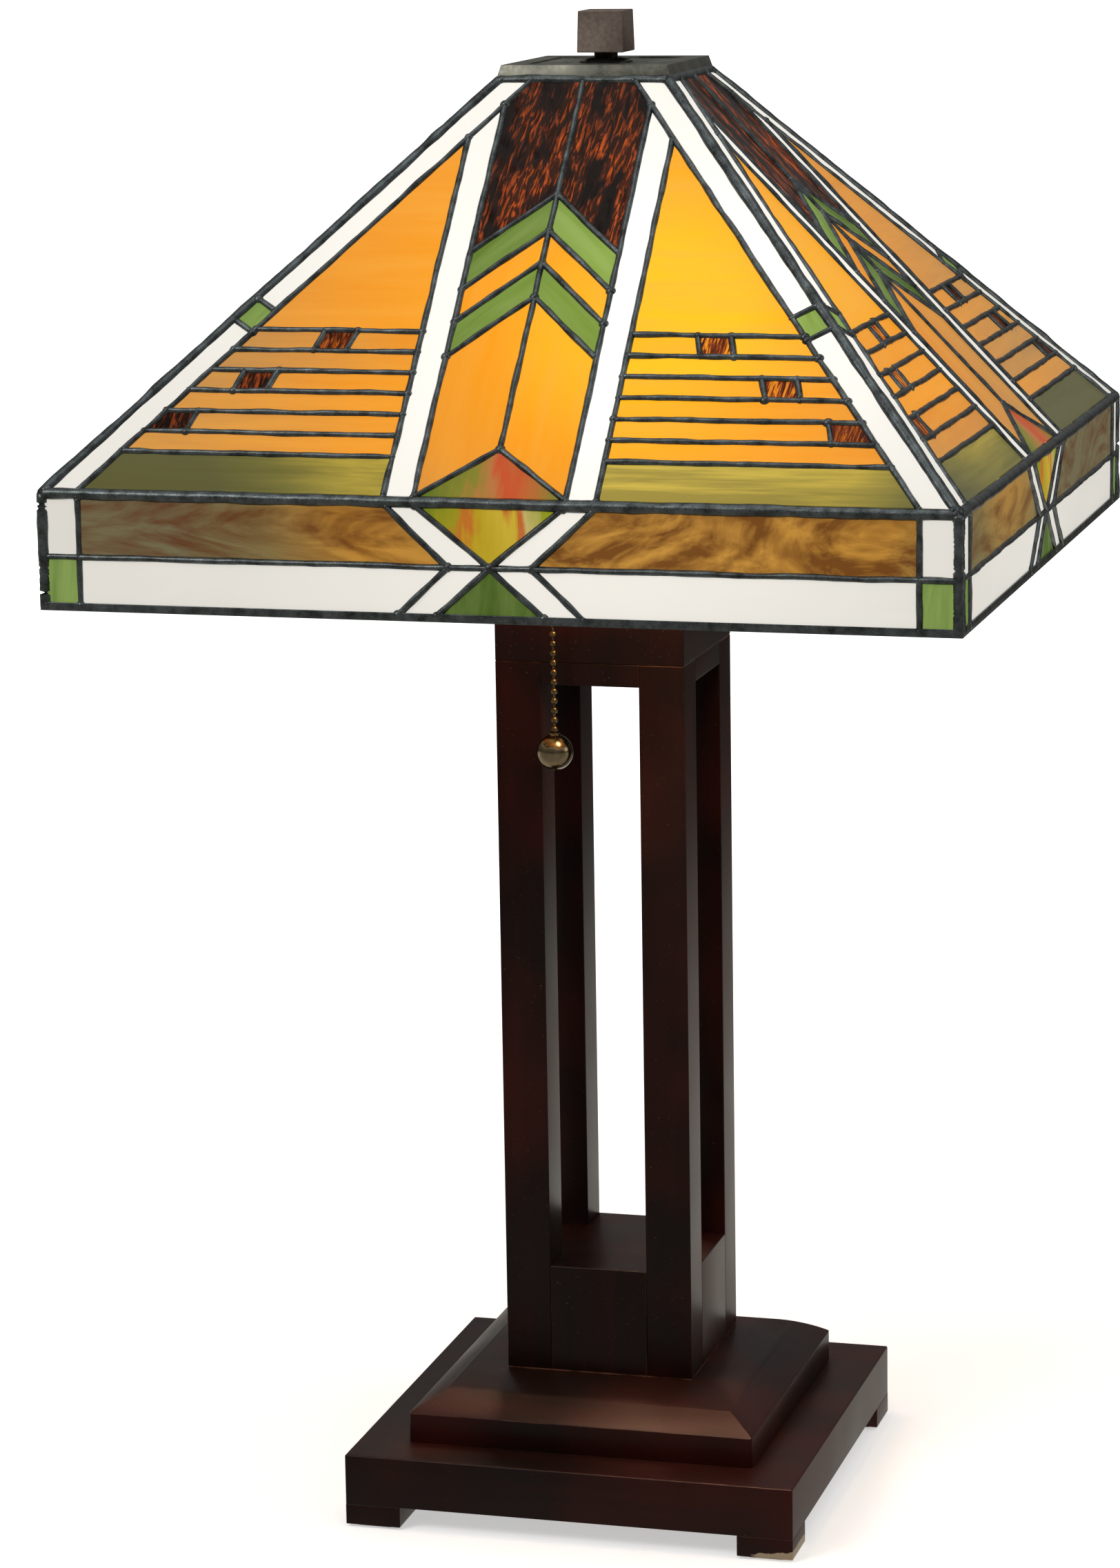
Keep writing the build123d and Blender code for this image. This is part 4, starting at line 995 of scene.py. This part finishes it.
frosted = Finish("lit_frosted_glass", Emission_Strength=2.2, Roughness=0.4)
cloudy = frosted.noise(30.0, 2.0)
frosted = frosted.feed(Base_Color=frosted.mix(cloudy, rgb(255, 236, 200), rgb(255, 244, 220)),
                       Emission_Color=frosted.mix(cloudy, rgb(255, 214, 140), rgb(255, 226, 165)))
for mark in ("front", "rear"):
    piece(f"bulb_globe_{mark}", softened(f"bulb_glass_{mark}", 0.01 * MM), f"bulb_{mark}", frosted,
          [f"bulb_glass_{mark}"])
    piece(f"bulb_screw_{mark}", softened(f"bulb_base_{mark}", 0.3 * MM), f"bulb_{mark}", zinc,
          [f"bulb_base_{mark}"])

# ---------------------------------------------------------------- pull chains
bead_chain = chain_tree()
BEAD, LINK, PITCH = 3.2 * MM, 1.0 * MM, 4.2 * MM


def bead_string(top, count):
    """A string of bead places down from the top one."""
    mesh = bpy.data.meshes.new("work")
    points = [top - Vector((0, 0, k * PITCH)) for k in range(count)]
    mesh.from_pydata(points, [(k, k + 1) for k in range(count - 1)], [])
    return mesh


for mark in ("front", "rear"):
    low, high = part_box(f"pull_chain_{mark}")
    middle = (low + high) / 2
    ball_low, ball_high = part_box(f"chain_ball_{mark}")
    drop = Vector((0, 0, PITCH))
    first = Vector((middle.x, middle.y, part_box(f"chain_stem_{mark}")[0].z + BEAD / 2))
    count = int((first.z - ball_high.z) / PITCH)
    chain = grown(bead_chain, bead_string(first - drop, count),
                  Bead_Radius=BEAD / 2, Link_Radius=LINK / 2, Finish=brass)
    piece(f"bead_chain_{mark}", to_mesh(joined([chain]), 60), f"chain_{mark}", brass,
          [f"pull_chain_{mark}"])
    stem = grown(bead_chain, bead_string(first + 2 * drop, 3),
                 Bead_Radius=BEAD / 2, Link_Radius=LINK / 2, Finish=brass)
    piece(f"bead_lead_{mark}", to_mesh(joined([stem]), 60), f"chain_lead_{mark}", brass,
          [f"chain_stem_{mark}"])
    radius = (ball_high.z - ball_low.z) / 2
    arc = [(radius * math.sin(a), radius - radius * math.cos(a))
           for a in (math.pi * k / 28 for k in range(1, 26))]
    collar = [(out * MM, 2 * radius + up * MM)
              for out, up in ((2.3, -0.1), (2.3, 0.5), (1.7, 0.9), (0, 0.9))]
    profile = [(0, 0)] + arc + collar
    ball = turned(profile, (middle.x, middle.y, ball_low.z), (0, 0, 1), 48)
    piece(f"pull_ball_{mark}", to_mesh(ball, 40), f"chain_{mark}", ball_brass,
          [f"chain_ball_{mark}"])

# ---------------------------------------------------------------- light from the bulbs
# Under each bulb, a weak glow on everything and a spot that only polished faces mirror.
for mark, place in (("front", bulbs[0]), ("rear", bulbs[1])):
    for kind, energy, colour in (("POINT", 0.5, (1.0, 0.72, 0.42)),
                                 ("SPOT", 20.0, (1.0, 0.52, 0.34))):
        lamp = bpy.data.lights.new(f"{mark}_{kind.lower()}", kind)
        lamp.energy = energy
        lamp.color = colour
        lamp.shadow_soft_size = 0.025
        ob = bpy.data.objects.new(lamp.name, lamp)
        if kind == "SPOT":
            lamp.spot_size = math.radians(58)
            lamp.spot_blend = 0.4
            ob.visible_diffuse = False
        ob.location = place - Vector((0, 0, 45 * MM))
        bpy.context.scene.collection.objects.link(ob)
